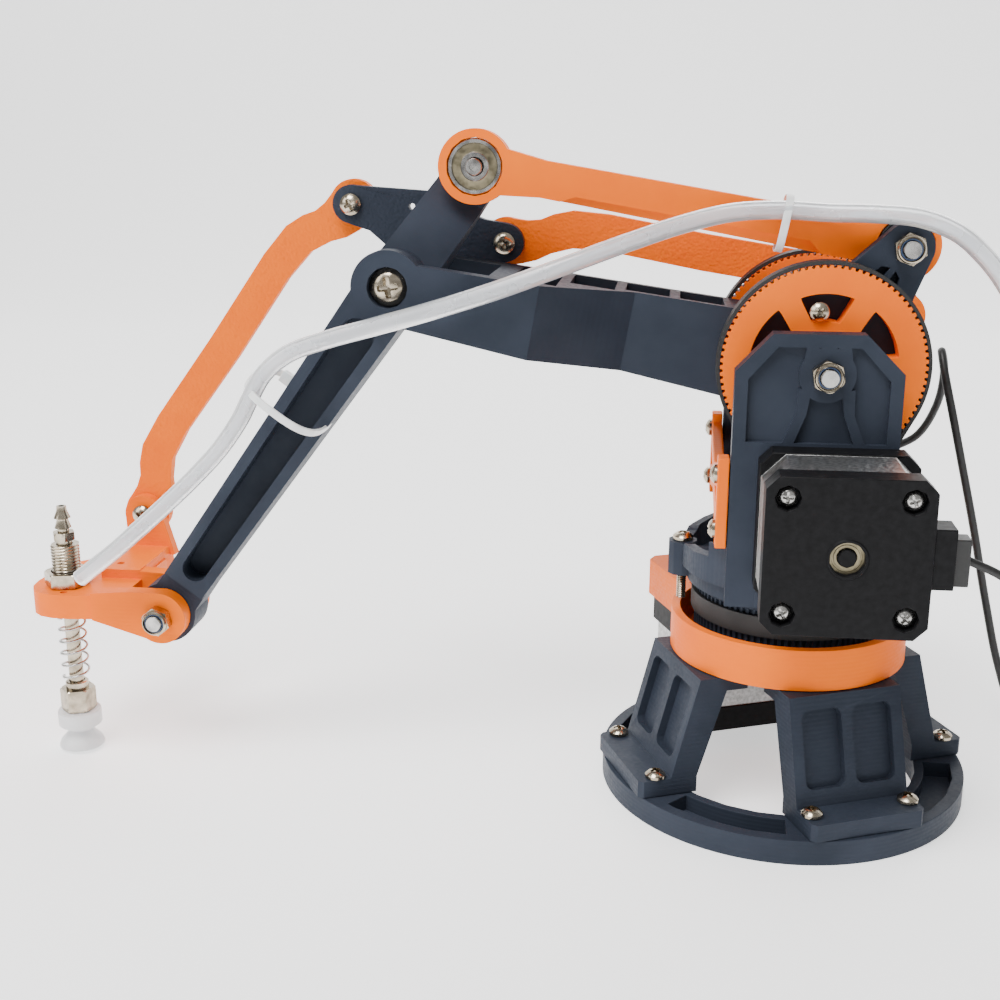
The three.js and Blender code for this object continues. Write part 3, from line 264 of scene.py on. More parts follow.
def lathe(bm, profile, segments=48, closed_ring=False):
    """Turns (radius, height) points about local Z, in metres. A point at radius 0 is one vertex."""
    rings = []
    for radius, height in profile:
        if radius < 1e-9:
            rings.append([bm.verts.new((0, 0, height))])
            continue
        rings.append(circle(bm, radius, height, segments))
    pairs = list(zip(rings, rings[1:]))
    if closed_ring:
        pairs.append((rings[-1], rings[0]))
    for a, b in pairs:
        for i in range(segments):
            j = (i + 1) % segments
            if len(a) == 1 and len(b) == 1:
                continue
            if len(a) == 1:
                bm.faces.new((a[0], b[i], b[j]))
            elif len(b) == 1:
                bm.faces.new((a[i], a[j], b[0]))
            else:
                bm.faces.new((a[i], a[j], b[j], b[i]))
    return rings


def band(bm, a, b):
    """A closed band of faces between two rings with the same number of points."""
    for i in range(len(a)):
        j = (i + 1) % len(a)
        bm.faces.new((a[i], a[j], b[j], b[i]))


def placed(build, centre, axis, spin=0.0):
    """Builds a small mesh about the origin and moves it to a place and an axis."""
    bm = bmesh.new()
    build(bm)
    bm.transform(Matrix.Translation(centre) @ frame_of(axis) @ Matrix.Rotation(spin, 4, "Z"))
    return bm


def merge(parts):
    out = bmesh.new()
    for part in parts:
        mesh = bpy.data.meshes.new("tmp")
        part.to_mesh(mesh)
        part.free()
        out.from_mesh(mesh)
        bpy.data.meshes.remove(mesh)
    return out


def pan_head(radius, height, shank=0.0, shank_radius=0.0):
    """A domed head with a cross recess, its outer face towards local +Z."""
    def build(bm):
        spokes, rings = 64, 18
        arm, width, depth = radius * 0.52, radius * 0.13, height * 0.75
        grid = []
        for r in range(rings + 1):
            rad = radius * r / rings
            ring = []
            for i in range(spokes):
                a = TAU * i / spokes
                x, y = rad * math.cos(a), rad * math.sin(a)
                z = height * (1 - 0.62 * (rad / radius) ** 2.6)
                near, far = min(abs(x), abs(y)), max(abs(x), abs(y))
                if far < arm and near < width + 0.06 * (arm - far):
                    z -= depth * (1 - 0.35 * far / arm)
                ring.append(bm.verts.new((x, y, z)))
                if r == 0:
                    break
            grid.append(ring)
        for r in range(rings):
            for i in range(spokes):
                j = (i + 1) % spokes
                if r == 0:
                    bm.faces.new((grid[0][0], grid[1][i], grid[1][j]))
                else:
                    bm.faces.new((grid[r][i], grid[r + 1][i], grid[r + 1][j], grid[r][j]))
        rim = grid[-1]
        low = [bm.verts.new((v.co.x, v.co.y, 0)) for v in rim]
        for i in range(spokes):
            j = (i + 1) % spokes
            bm.faces.new((rim[i], low[i], low[j], rim[j]))
        bm.faces.new(list(reversed(low)))
        if shank:
            part = [(0, 0.0002), (shank_radius, 0.0002), (shank_radius, -shank), (0, -shank)]
            lathe(bm, part, 24)
    return build


def screw(name, centre, axis, body, radius, height, material="nickel", stands_for=(), shank=0.0, shank_radius=0.0,
          spin=0.3):
    bm = placed(pan_head(radius, height, shank, shank_radius), centre, axis, spin)
    return finish_object(name, bm, material, body, stands_for, smooth_angle=28)


def hexagon(bm, radius, z0, z1, chamfer=0.0006, hole=0.0):
    """A hexagonal prism with turned-down corners, optionally with a round hole."""
    count = 60
    def reach(a):
        return radius * math.cos(math.pi / 6) / math.cos((a % (TAU / 6)) - math.pi / 6)
    levels = [(z0, -chamfer), (z0 + chamfer * 0.7, 0), (z1 - chamfer * 0.7, 0), (z1, -chamfer)]
    rings = []
    for z, inset in levels:
        limit = radius + inset if inset else radius
        ring = []
        for i in range(count):
            a = TAU * i / count
            r = min(reach(a), limit)
            ring.append(bm.verts.new((r * math.cos(a), r * math.sin(a), z)))
        rings.append(ring)
    if hole:
        rings += [circle(bm, hole, z, count) for z in (z1, z0)]
    for a, b in zip(rings, rings[1:] + ([rings[0]] if hole else [])):
        band(bm, a, b)
    if not hole:
        bm.faces.new(list(reversed(rings[0])))
        bm.faces.new(rings[-1])


def loops_to_mesh(name, loops, depth, bevel):
    """A flat shape with holes, from closed outlines in the XZ plane, given thickness along Y (local Z)."""
    curve = bpy.data.curves.new(name, "CURVE")
    curve.dimensions = "2D"
    curve.fill_mode = "BOTH"
    curve.extrude = depth / 2 - bevel
    curve.bevel_depth = bevel
    curve.bevel_resolution = 1
    curve.offset = -bevel
    for loop in loops:
        spline = curve.splines.new("POLY")
        spline.points.add(len(loop) - 1)
        for point, (x, y) in zip(spline.points, loop):
            point.co = (x, y, 0, 1)
        spline.use_cyclic_u = True
    obj = bpy.data.objects.new(name, curve)
    bpy.context.collection.objects.link(obj)
    bpy.context.view_layer.update()
    mesh = bpy.data.meshes.new_from_object(obj.evaluated_get(bpy.context.evaluated_depsgraph_get()))
    bpy.data.objects.remove(obj)
    bpy.data.curves.remove(curve)
    bm = bmesh.new()
    bm.from_mesh(mesh)
    bpy.data.meshes.remove(mesh)
    return bm


def upright(bm, x, y, z):
    """Turns a shape drawn in XY so that its Y becomes Z, and puts its middle at a place in millimetres."""
    turn = Matrix.Rotation(math.radians(90), 4, "X")
    bm.transform(Matrix.Translation(P(x, y, z)) @ turn)
    return bm


# ---- printed parts: the CAD shape with softened edges, and finely turned eyes over its round ends ----
def eye(at, radius, bore, front, back):
    """A finely turned ring along Y, a hair larger than the round end it covers."""
    grow, length = 0.02, (back - front) * MM
    outer = (radius + grow) * MM
    inner = (bore - grow) * MM
    extra = grow * MM
    profile = [(inner, -extra), (outer, -extra), (outer, length + extra), (inner, length + extra)]
    return placed(lambda b: lathe(b, profile, 96, closed_ring=True), P(at[0], front, at[1]), (0, 1, 0))


def turned_ring(profile):
    """A finely turned ring about the turntable axis, from (radius, height) points in millimetres."""
    points = [(r * MM, z_ * MM) for r, z_ in profile]
    return placed(lambda b: lathe(b, points, 160, closed_ring=True), P(0, 0, 0), (0, 0, 1))


def softened(node, material, body, bevel=0.00035, extras=()):
    bm = bmesh.new()
    bm.from_mesh(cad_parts[node].data)
    bmesh.ops.remove_doubles(bm, verts=bm.verts, dist=2e-6)
    bmesh.ops.dissolve_limit(bm, angle_limit=math.radians(1.0), verts=bm.verts, edges=bm.edges)
    bmesh.ops.recalc_face_normals(bm, faces=bm.faces)
    if extras:
        bm = merge([bm, *extras])
    return finish_object(node + "_print", bm, material, body, (node,), smooth_angle=30, bevel=bevel)


EYES = {
    "rear_link": [(LINK_A, 10.6, 8.2, -3.6, 2.4), (LINK_B, 9.8, 8.2, -3.6, 2.4)],
    "forearm": [(ELBOW, 9.8, 3, -18.4, 9.5), (LINK_A, 8, 2.5, 3.1, 9.5), (WRIST, 9.6, 8.2, -14.6, -9.4),
                (WRIST, 9.6, 3, -9.4, -2.4)],
    "lower_arm": [(ELBOW, 10.4, 5.8, -24.5, -20.9), (ELBOW, 10.4, 3, -20.9, -19), (ELBOW, 10.4, 3, 10.1, 19.6),
                  (SHOULDER, 19, 3, -3.6, 19.6)],
    "crank": [(LINK_B, 7, 2.5, -9.7, -4.2)],
    "levelling_plate": [(LEVEL_1, 5.9, 1.8, 24.4, 27.9), (LEVEL_2, 5.9, 1.8, 24.4, 27.9)],
    "rear_levelling_link": [(LEVEL_2, 7.6, 1.8, 28.2, 31.8), (LEVEL_F, 7.6, 1.8, 28.2, 31.8)],
    "front_levelling_link": [(LEVEL_1, 7.6, 1.8, 28.2, 31.8), (LEVEL_G, 7.6, 1.8, 28.2, 31.8)],
    "tool_holder": [(WRIST, 8.2, 3, -20.1, -15.1), (WRIST, 8.2, 3, -1.9, 3.1), (LEVEL_G, 6.4, 1.8, 24.3, 27.9)],
    "turntable_frame": [(SHOULDER, 7.6, 3, -28.5, -26.7)],
}
RINGS = {
    "base_ring": [(41, 0), (55.32, 0), (55.32, 7.42), (51.9, 7.42), (51.9, 2.63), (43.6, 2.63), (43.6, 7.42),
                  (40.98, 7.42)],
    "base_housing": [(32.6, 46.33), (32.6, 55.52), (35.22, 55.52), (35.22, 43.28), (30, 43.28), (30, 46.33)],
    "turntable_frame": [(20, 65.42), (31.02, 65.42), (31.02, 70.02), (20, 70.02)],
}
PRINTS = {
    "base_ring": ("slate_z", "base"), "leg_left": ("slate_z", "base"), "leg_front": ("slate_z", "base"),
    "leg_right": ("slate_z", "base"), "base_housing": ("orange_z", "base"),
    "turntable_frame": ("slate_y", "turntable"), "far_side_plate": ("slate_y", "turntable"),
    "front_brace": ("orange_y", "turntable"), "crank": ("slate_y", "crank_unit"),
    "lower_arm": ("slate_y", "lower_arm_unit"), "rear_link": ("orange_y", "rear_link_unit"),
    "forearm": ("slate_y", "forearm_unit"), "levelling_plate": ("slate_pebbled", "levelling_unit"),
    "rear_levelling_link": ("orange_pebbled", "rear_levelling_unit"),
    "front_levelling_link": ("orange_pebbled", "front_levelling_unit"),
    "tool_holder": ("orange_z", "holder_unit"),
}
for node, (material, body) in PRINTS.items():
    rounds = [eye(*numbers) for numbers in EYES.get(node, [])]
    if node in RINGS:
        rounds.append(turned_ring(RINGS[node]))
    softened(node, material, body, extras=rounds)


# ---- motors -----------------------------------------------------------------
MOTOR_LENGTH = 34 * MM
MOTOR_CAP = 0.0082
SCREW_SQUARE = 15.5 * MM


def motor(name, face, axis, body):
    """face is the middle of the mounting face, axis points from the rear cover towards the face."""
    direction = Vector(axis).normalized()
    piece = softened(name, "motor_black", body, bevel=0.0005)
    piece.data.materials.append(MATS["lamination"])
    for polygon in piece.data.polygons:
        depth = (face - polygon.center).dot(direction)
        if MOTOR_CAP < depth < MOTOR_LENGTH - MOTOR_CAP:
            polygon.material_index = 1
    rear = face - direction * MOTOR_LENGTH
    if name == "base_motor":
        cosine, sine = math.cos(BASE_HEADING), math.sin(BASE_HEADING)
        side, up = Vector((cosine, sine, 0)), Vector((-sine, cosine, 0))
    else:
        side, up = Vector((1, 0, 0)), Vector((0, 0, 1))
    for i, (a, b) in enumerate(((-1, -1), (-1, 1), (1, -1), (1, 1))):
        centre = rear + side * a * SCREW_SQUARE + up * b * SCREW_SQUARE + direction * 0.0025
        screw(f"{name}_cover_screw_{i + 1}", centre, -direction, body, 0.0026, 0.0019, "steel", spin=0.5 + i)

    def ring(bm):
        lathe(bm, [(0.0046, -0.003), (0.0046, 0.0004), (0.0051, 0.0004), (0.0055, -0.0001), (0.0055, -0.0004),
                   (0.0048, -0.0004)], 48)
    bm = placed(ring, rear, -direction)
    finish_object(name + "_rear_ring", bm, "motor_black", body)

    def race(bm):
        lathe(bm, [(0.0026, -0.0029), (0.0026, -0.0018), (0.0033, -0.0018), (0.0034, -0.0021), (0.0038, -0.0021),
                   (0.0039, -0.0018), (0.0045, -0.0018), (0.0045, -0.0029)], 48)
    bm = placed(race, rear, -direction)
    finish_object(name + "_rear_bearing", bm, "shield", body)

    def shaft(bm):
        lathe(bm, [(0, -0.004), (0.0024, -0.004), (0.0024, -0.0012), (0.0021, -0.0009), (0.0004, -0.0009),
                   (0, -0.0013)], 40)
    bm = placed(shaft, rear, -direction)
    finish_object(name + "_rear_shaft", bm, "steel", body)
    # the plug seated in the connector, on the side of the cover
    plug_at = rear + side * 0.0282 + direction * 0.005 - up * 0.0006
    bm = bmesh.new()
    bmesh.ops.create_cube(bm, size=1)
    for v in bm.verts:
        v.co = plug_at + side * v.co.x * 0.0045 + direction * v.co.y * 0.0058 + up * v.co.z * 0.0125
    finish_object(name + "_plug", bm, "cable", body, bevel=0.0003)


FACE_NEAR = P(MOTOR[0], -28.8, MOTOR[1])
FACE_FAR = P(MOTOR[0], 38.8, MOTOR[1])
BASE_MOTOR = (BASE_REACH * math.cos(BASE_HEADING), BASE_REACH * math.sin(BASE_HEADING))
motor("elbow_motor", FACE_NEAR, (0, 1, 0), "turntable")
motor("shoulder_motor", FACE_FAR, (0, -1, 0), "turntable")
motor("base_motor", P(*BASE_MOTOR, BASE_FACE), (0, 0, 1), "base")


# ---- toothed wheels and belts ----------------------------------------------------
WHEEL_TEETH = 90
WHEEL_RADIUS = 28.3 * MM
TOOTH_DEPTH = 0.75 * MM
PINION_TEETH = 20
PINION_RADIUS = 6.2 * MM


def toothed_circle(radius, teeth, depth, grow=0.0, phase=0.0):
    points = []
    for i in range(teeth):
        for t, low in ((0.0, 0), (0.42, 0), (0.55, 1), (0.87, 1)):
            a = TAU * (i + t + phase) / teeth
            r = radius - depth * low + grow
            points.append((r * math.cos(a), r * math.sin(a)))
    return points


def arc(radius, start, end, steps):
    return [(radius * math.cos(start + (end - start) * i / steps), radius * math.sin(start + (end - start) * i / steps))
            for i in range(steps + 1)]


def rounded_loop(points, amount=0.25):
    """Cuts every corner of a closed outline twice, which rounds it."""
    for _ in range(2):
        out = []
        for a, b in zip(points, points[1:] + points[:1]):
            out.append((a[0] + (b[0] - a[0]) * amount, a[1] + (b[1] - a[1]) * amount))
            out.append((b[0] + (a[0] - b[0]) * amount, b[1] + (a[1] - b[1]) * amount))
        points = out
    return points


def arm_wheel(name, front, hub_end, body):
    loops = [toothed_circle(WHEEL_RADIUS, WHEEL_TEETH, TOOTH_DEPTH), arc(0.0027, 0, TAU * 39 / 40, 39)]
    for i in range(6):
        mid, half = math.radians(30 + 60 * i), math.radians(21)
        window = arc(0.0205, mid - half, mid + half, 18) + arc(0.013, mid + half * 0.8, mid - half * 0.8, 12)
        loops.append(rounded_loop(window, 0.2))
    disc = upright(loops_to_mesh(name, loops, 0.007, 0.00012), SHOULDER[0], front + 3.5, SHOULDER[1])
    hub_from, hub_to = sorted((hub_end, front + (7 if hub_end > front else 0)))

    def hub(bm):
        length = (hub_to - hub_from) * MM
        lathe(bm, [(0.0027, 0), (0.008, 0), (0.008, length), (0.0027, length)], 64, closed_ring=True)
    bm = merge([disc, placed(hub, P(SHOULDER[0], hub_from, SHOULDER[1]), (0, 1, 0))])
    return finish_object(name + "_wheel", bm, "orange_y", body, (name,), smooth_angle=22)


arm_wheel("elbow_pulley", -17, -22.2, "crank_unit")
arm_wheel("shoulder_pulley", 19.9, 32.2, "lower_arm_unit")


def belt_outline(reach, radius_a, radius_b, heading, inner):
    """The closed line of a belt round a wheel at the origin and a smaller one at a distance, in a flat frame."""
    lean = math.acos((radius_a - radius_b) / reach)
    big = arc(radius_a, heading + lean, heading - lean + TAU, 220)
    far = (reach * math.cos(heading), reach * math.sin(heading))
    small = [(far[0] + x, far[1] + y) for x, y in arc(radius_b, heading - lean, heading + lean, 44)]
    points = big + small
    if not inner:
        return points
    # evenly spaced points, pushed inwards at each tooth
    loop = [Vector((*p, 0)) for p in points + points[:1]]
    lengths = [0.0]
    for a, b in zip(loop, loop[1:]):
        lengths.append(lengths[-1] + (b - a).length)
    teeth = round(lengths[-1] / 0.002)
    out, k = [], 0
    for i in range(teeth):
        for t, deep in ((0.02, 0), (0.44, 0), (0.57, 1), (0.85, 1)):
            target = lengths[-1] * (i + t) / teeth
            while lengths[k + 1] < target:
                k += 1
            a, b = loop[k], loop[k + 1]
            p = a.lerp(b, (target - lengths[k]) / (lengths[k + 1] - lengths[k]))
            tangent = (b - a).normalized()
            normal = Vector((-tangent.y, tangent.x, 0))
            p = p + normal * deep * TOOTH_DEPTH * 0.8
            out.append((p.x, p.y))
    return out


def belt(name, reach, heading):
    gap = 0.00012
    outer = belt_outline(reach, WHEEL_RADIUS + 0.0011, PINION_RADIUS + 0.0011, heading, False)
    inner = belt_outline(reach, WHEEL_RADIUS + gap, PINION_RADIUS + gap, heading, True)
    return loops_to_mesh(name, [outer, inner], 0.006, 0.0)


ARM_REACH = math.hypot(MOTOR[0] - SHOULDER[0], MOTOR[1] - SHOULDER[1]) * MM
ARM_HEADING = math.atan2(MOTOR[1] - SHOULDER[1], MOTOR[0] - SHOULDER[0])
for name, middle in (("elbow_belt", -13.5), ("shoulder_belt", 23.4)):
    bm = upright(belt(name, ARM_REACH, ARM_HEADING), SHOULDER[0], middle, SHOULDER[1])
    finish_object(name + "_loop", bm, "belt", "turntable", (name,), smooth_angle=25)
bm = belt("base_belt", BASE_REACH * MM, BASE_HEADING)
bm.transform(Matrix.Translation(P(0, 0, 59.2)))
finish_object("base_belt_loop", bm, "belt", "base", ("base_belt",), smooth_angle=25)

# the turntable's own wheel, with a smooth rim above its teeth
wheel_loops = [toothed_circle(WHEEL_RADIUS, WHEEL_TEETH, TOOTH_DEPTH), arc(0.0085, 0, TAU * 47 / 48, 47)]
wheel = loops_to_mesh("turn", wheel_loops, 0.0146, 0.0001)
wheel.transform(Matrix.Translation(P(0, 0, 49 + 7.3)))


def rim(bm):
    lathe(bm, [(0.0085, 0.0635), (0.0282, 0.0635), (0.0285, 0.0638), (0.0285, 0.065), (0.0085, 0.065)], 96, True)


bm = merge([wheel, placed(rim, P(0, 0, 0), (0, 0, 1))])
finish_object("turntable_wheel", bm, "slate_z", "turntable", ("turntable_pulley",), smooth_angle=22)


def pinion(name, face, axis, start, body):
    """A steel pinion of 20 teeth between two flanges; start is the distance from the motor's face to its teeth."""
    gear = loops_to_mesh(name, [toothed_circle(PINION_RADIUS, PINION_TEETH, TOOTH_DEPTH)], 0.0066, 0.00005)
    gear.transform(Matrix.Translation((0, 0, start + 0.0033)))
    solids = [gear]
    for low in (start - 0.001, start + 0.0066):
        part = bmesh.new()
        lathe(part, [(0, low), (0.0075, low), (0.0076, low + 0.0002), (0.0076, low + 0.0008), (0.0075, low + 0.001),
                     (0, low + 0.001)], 48)
        solids.append(part)
    part = bmesh.new()
    lathe(part, [(0, -0.001), (0.0025, -0.001), (0.0025, start + 0.0096), (0.0022, start + 0.0099),
                 (0, start + 0.0099)], 32)
    solids.append(part)
    bm = merge(solids)
    bm.transform(Matrix.Translation(face) @ frame_of(axis))
    finish_object(name + "_gear", bm, "steel", body, (name,), smooth_angle=25)


pinion("elbow_motor_pulley", FACE_NEAR, (0, 1, 0), 0.0120, "elbow_pinion")
pinion("shoulder_motor_pulley", FACE_FAR, (0, -1, 0), 0.0121, "shoulder_pinion")
pinion("base_motor_pulley", P(*BASE_MOTOR, BASE_FACE), (0, 0, 1), 0.0129, "base_pinion")


# ---- screws ---------------------------------------------------------------------
for leg, offset in (("leg_left", -90), ("leg_front", 0), ("leg_right", 90)):
    heading = math.radians(LEG_ANGLE + offset)
    for side in (-1, 1):
        t = side * 15.05
        x = 48.2 * math.cos(heading) - t * math.sin(heading)
        y = 48.2 * math.sin(heading) + t * math.cos(heading)
        node = f"{leg}_screw_{1 if side < 0 else 2}"
        piece = screw(node + "_head", P(x, y, 13.1), (0, 0, 1), "base", 0.003, 0.0022, "nickel", (node,), 0.0075,
                      0.00145, spin=heading * 3 + side)

BRACE_X = SHOULDER[0] - 24.6 - 3.5
for j, y in enumerate((-25.5, 35.5)):
    for k, z in enumerate((87.5, 103.5)):
        screw(f"brace_screw_{2 * j + k + 1}", P(BRACE_X - 0.05, y, z), (-1, 0, 0), "turntable", 0.0027, 0.002,
              "nickel", spin=0.4 + j + k)
screw("wheel_screw", P(SHOULDER[0] - 2.0, -17.05, SHOULDER[1] + 15.6), (0, -1, 0), "crank_unit", 0.0027, 0.002,
      "nickel", spin=0.8)


def threads(bm, radius, z0, z1, pitch, depth, segments=36, bore=0.0):
    """A screw thread about local Z, as a helical ridge."""
    turns = (z1 - z0) / pitch
    steps = 6
    rows = max(3, int(turns * steps))
    rings = []
    for r in range(rows + 1):
        z = z0 + (z1 - z0) * r / rows
        ring = []
        for i in range(segments):
            a = TAU * i / segments
            phase = ((z - z0) / pitch - i / segments) % 1.0
            ridge = abs(phase - 0.5) * 2
            rad = radius - depth * ridge
            ring.append(bm.verts.new((rad * math.cos(a), rad * math.sin(a), z)))
        rings.append(ring)
    for a, b in zip(rings, rings[1:]):
        band(bm, a, b)
    if bore:
        inner = [circle(bm, bore, z, segments) for z in (z1, z0)]
        for a, b in ((rings[-1], inner[0]), (inner[0], inner[1]), (inner[1], rings[0])):
            band(bm, a, b)
        return
    for ring, flip in ((rings[0], True), (rings[-1], False)):
        bm.faces.new(list(reversed(ring)) if flip else ring)


def bolt_end(name, at, front, back, body, node, socket_head=False):
    """An M5 bolt along Y: threaded at the front end, with an optional socket head at its back."""
    length = (back - front) * MM
    def build(bm):
        threads(bm, 0.00242, 0, min(0.008, length * 0.6), 0.0008, 0.0003, 40)
        lathe(bm, [(0, length * 0.5), (0.0023, length * 0.5), (0.0023, length), (0, length)], 32)
        if socket_head:
            lathe(bm, [(0, length - 0.0045), (0.0042, length - 0.0045), (0.0042, length - 0.0004),
                       (0.0038, length), (0, length)], 48)
    bm = placed(build, P(at[0], front, at[1]), (0, 1, 0))
    return finish_object(name, bm, "steel", body, (node,), smooth_angle=40)


bolt_end("shoulder_axle", SHOULDER, -34.6, 44, "turntable", "shoulder_axle_bolt", socket_head=True)
bolt_end("crank_pin", LINK_B, -15.5, 7, "crank_unit", "crank_bolt")
bolt_end("wrist_pin", WRIST, -25.6, 6, "forearm_unit", "wrist_bolt")


def nylock(name, at, front, body, node):
    """A lock nut along Y: the collar with its nylon ring faces the front."""
    def build(bm):
        hexagon(bm, 0.0046, 0.0014, 0.0047, 0.0003, hole=0.0026)
        lathe(bm, [(0.0029, 0.0017), (0.0039, 0.0017), (0.0039, 0.0006), (0.0036, 0.0001), (0.0033, 0.0),
                   (0.0030, 0.0004)], 48, closed_ring=True)
    bm = placed(build, P(at[0], front, at[1]), (0, 1, 0), 0.35)
    piece = finish_object(name, bm, "nickel", body, (node,), smooth_angle=30)
    def insert(bm):
        lathe(bm, [(0.0026, 0.0006), (0.0031, 0.0006), (0.0031, 0.0017), (0.0026, 0.0017)], 40, closed_ring=True)
    finish_object(name + "_insert", placed(insert, P(at[0], front, at[1]), (0, 1, 0)), "nylon_blue", body)
    return piece


NUT_FRONT_S = -28.5 - 0.3 - 4.7
nylock("shoulder_lock_nut", SHOULDER, NUT_FRONT_S, "turntable", "shoulder_nut")
nylock("crank_lock_nut", LINK_B, -9.7 - 0.3 - 4.7, "crank_unit", "crank_nut")
nylock("wrist_lock_nut", WRIST, -14.6 - 5.5 - 0.3 - 4.7, "forearm_unit", "wrist_nut")


def ball_bearing(name, at, front, body, node):
    """A shielded 16 x 5 ball bearing along Y."""
    half = [(0.0025, 0.0004), (0.0027, 0.0), (0.0039, 0.0), (0.0041, 0.0002), (0.0041, 0.0005),
            (0.0044, 0.0006), (0.0062, 0.0005), (0.0064, 0.0005), (0.0066, 0.0002), (0.0067, 0.0),
            (0.0076, 0.0), (0.0079, 0.0003)]
    other = [(r, 0.005 - h) for r, h in reversed(half)]
    bm = placed(lambda b: lathe(b, half + other, 72, closed_ring=True), P(at[0], front, at[1]), (0, 1, 0))
    piece = finish_object(name, bm, ["steel", "shield"], body, (node,), smooth_angle=25)
    centre = P(at[0], 0, at[1])
    for polygon in piece.data.polygons:
        offset = polygon.center - centre
        radius = math.hypot(offset.x, offset.z)
        if 0.0041 < radius < 0.0064:
            polygon.material_index = 1
    return piece


ball_bearing("link_bearing_a", LINK_A, -3.3, "rear_link_unit", "rear_link_bearing_a")
ball_bearing("link_bearing_b", LINK_B, -3.3, "rear_link_unit", "rear_link_bearing_b")
ball_bearing("wrist_ball_bearing", WRIST, -14.55, "forearm_unit", "wrist_bearing")

# the link bolt ends in the front bearing as a socket set end with a thin collar
def link_bolt(bm):
    lathe(bm, [(0, 0.0006), (0.0013, 0.0006), (0.0013, 0.0), (0.0022, 0.0), (0.0024, 0.0003), (0.0024, 0.0173),
               (0, 0.0173)], 40)


finish_object("link_bolt", placed(link_bolt, P(LINK_A[0], -5.6, LINK_A[1]), (0, 1, 0)), "steel", "forearm_unit",
              ("forearm_link_bolt",), smooth_angle=30)


def pan_screw(name, at, front, back, head, height, shank, body, node, spin=0.4):
    """A pan-head screw along Y with its head at the front."""
    piece = screw(name, P(at[0], front + height, at[1]), (0, -1, 0), body, head * MM, height * MM, "nickel", (node,),
                  (back - front - height) * MM, shank * MM, spin)


pan_screw("elbow_pan_screw", ELBOW, -24.3, 31, 5.4, 3.2, 2.4, "lower_arm_unit", "elbow_bolt", 0.15)
pan_screw("plate_screw_front", LEVEL_1, 21.7, 32.8, 3.3, 2.4, 1.45, "levelling_unit", "levelling_screw_front", 0.5)
pan_screw("plate_screw_rear", LEVEL_2, 21.7, 32.8, 3.3, 2.4, 1.45, "levelling_unit", "levelling_screw_rear", 0.2)
pan_screw("holder_pan_screw", LEVEL_G, 21.4, 32.8, 3.3, 2.4, 1.45, "holder_unit", "holder_screw", 0.9)


def stop_screw(bm):
    pan_head(0.0031, 0.0023)(bm)
    threads(bm, 0.00148, -0.0188, 0.0002, 0.0006, 0.00022, 28)


finish_object("height_stop_screw", placed(stop_screw, P(-32.5, 0, 76.5), (0, 0, 1), 0.6), "nickel", "turntable",
              ("stop_screw",), smooth_angle=30)


# ---- suction tool ------------------------------------------------------------------
def tool_piece(name, build, material, body, node, smooth=30, spin=0.0):
    bm = placed(build, P(*TOOL, 0), (0, 0, 1), spin)
    return finish_object(name, bm, material, body, (node,) if node else (), smooth_angle=smooth)


def z(value):
    return value * MM


def bush(bm):
    threads(bm, 0.0045, z(PLATE_TOP + 4.5), z(PLATE_TOP + 13.6), 0.001, 0.0004, 48, bore=0.0026)
    lathe(bm, [(0.0026, z(PLATE_BOTTOM - 2)), (0.0042, z(PLATE_BOTTOM - 2)), (0.0042, z(PLATE_TOP + 4.6)),
               (0.0026, z(PLATE_TOP + 4.6))], 48, closed_ring=True)


def rod(bm):
    top = PLATE_TOP + 15
    hexagon(bm, 0.0036, z(top), z(top + 2.6), 0.0003)
    lathe(bm, [(0, z(18.5)), (0.0023, z(18.5)), (0.0023, z(top + 0.5)), (0, z(top + 0.5))], 40)
    lathe(bm, [(0.0009, z(top + 2.5)), (0.0018, z(top + 2.5)), (0.0018, z(top + 3.6)), (0.0026, z(top + 4.0)),
               (0.0018, z(top + 6.4)), (0.0018, z(top + 6.8)), (0.0026, z(top + 7.2)), (0.0016, z(top + 9.6)),
               (0.0015, z(top + 11)), (0.0009, z(top + 11))], 40, closed_ring=True)


def spring(bm):
    top, foot, turns, wire = PLATE_BOTTOM - 2.6, 24.9, 5.2, 0.0004
    steps, sides = 260, 8
    rings = []
    for i in range(steps + 1):
        t = i / steps
        a = TAU * turns * t
        centre = Vector((0.0041 * math.cos(a), 0.0041 * math.sin(a), z(foot + (top - foot) * t)))
        radial = Vector((math.cos(a), math.sin(a), 0))
        rings.append([bm.verts.new(centre + radial * wire * math.cos(TAU * s / sides)
                                   + Vector((0, 0, wire * math.sin(TAU * s / sides)))) for s in range(sides)])
    for a, b in zip(rings, rings[1:]):
        band(bm, a, b)
    bm.faces.new(list(reversed(rings[0])))
    bm.faces.new(rings[-1])


def coupler(bm):
    hexagon(bm, 0.0056, z(13.7), z(21.1), 0.0005, hole=0.0025)
    lathe(bm, [(0.0025, z(21.0)), (0.0036, z(21.0)), (0.0036, z(23.2)), (0.0032, z(23.5)), (0.0025, z(23.5))], 48,
          closed_ring=True)


def cup_body(bm):
    lathe(bm, [(0, z(8.4)), (0.0066, z(8.4)), (0.0069, z(8.7)), (0.0069, z(13.0)), (0.0066, z(13.4)),
               (0, z(13.4))], 64)


def cup(bm):
    lathe(bm, [(0, z(5)), (0.0024, z(5)), (0.0062, z(1.2)), (0.0072, z(1.2)), (0.00715, z(1.7)), (0.0066, z(3.0)),
               (0.0042, z(5.6)), (0.0036, z(6.4)), (0.0036, z(8.2)), (0, z(8.2))], 64)


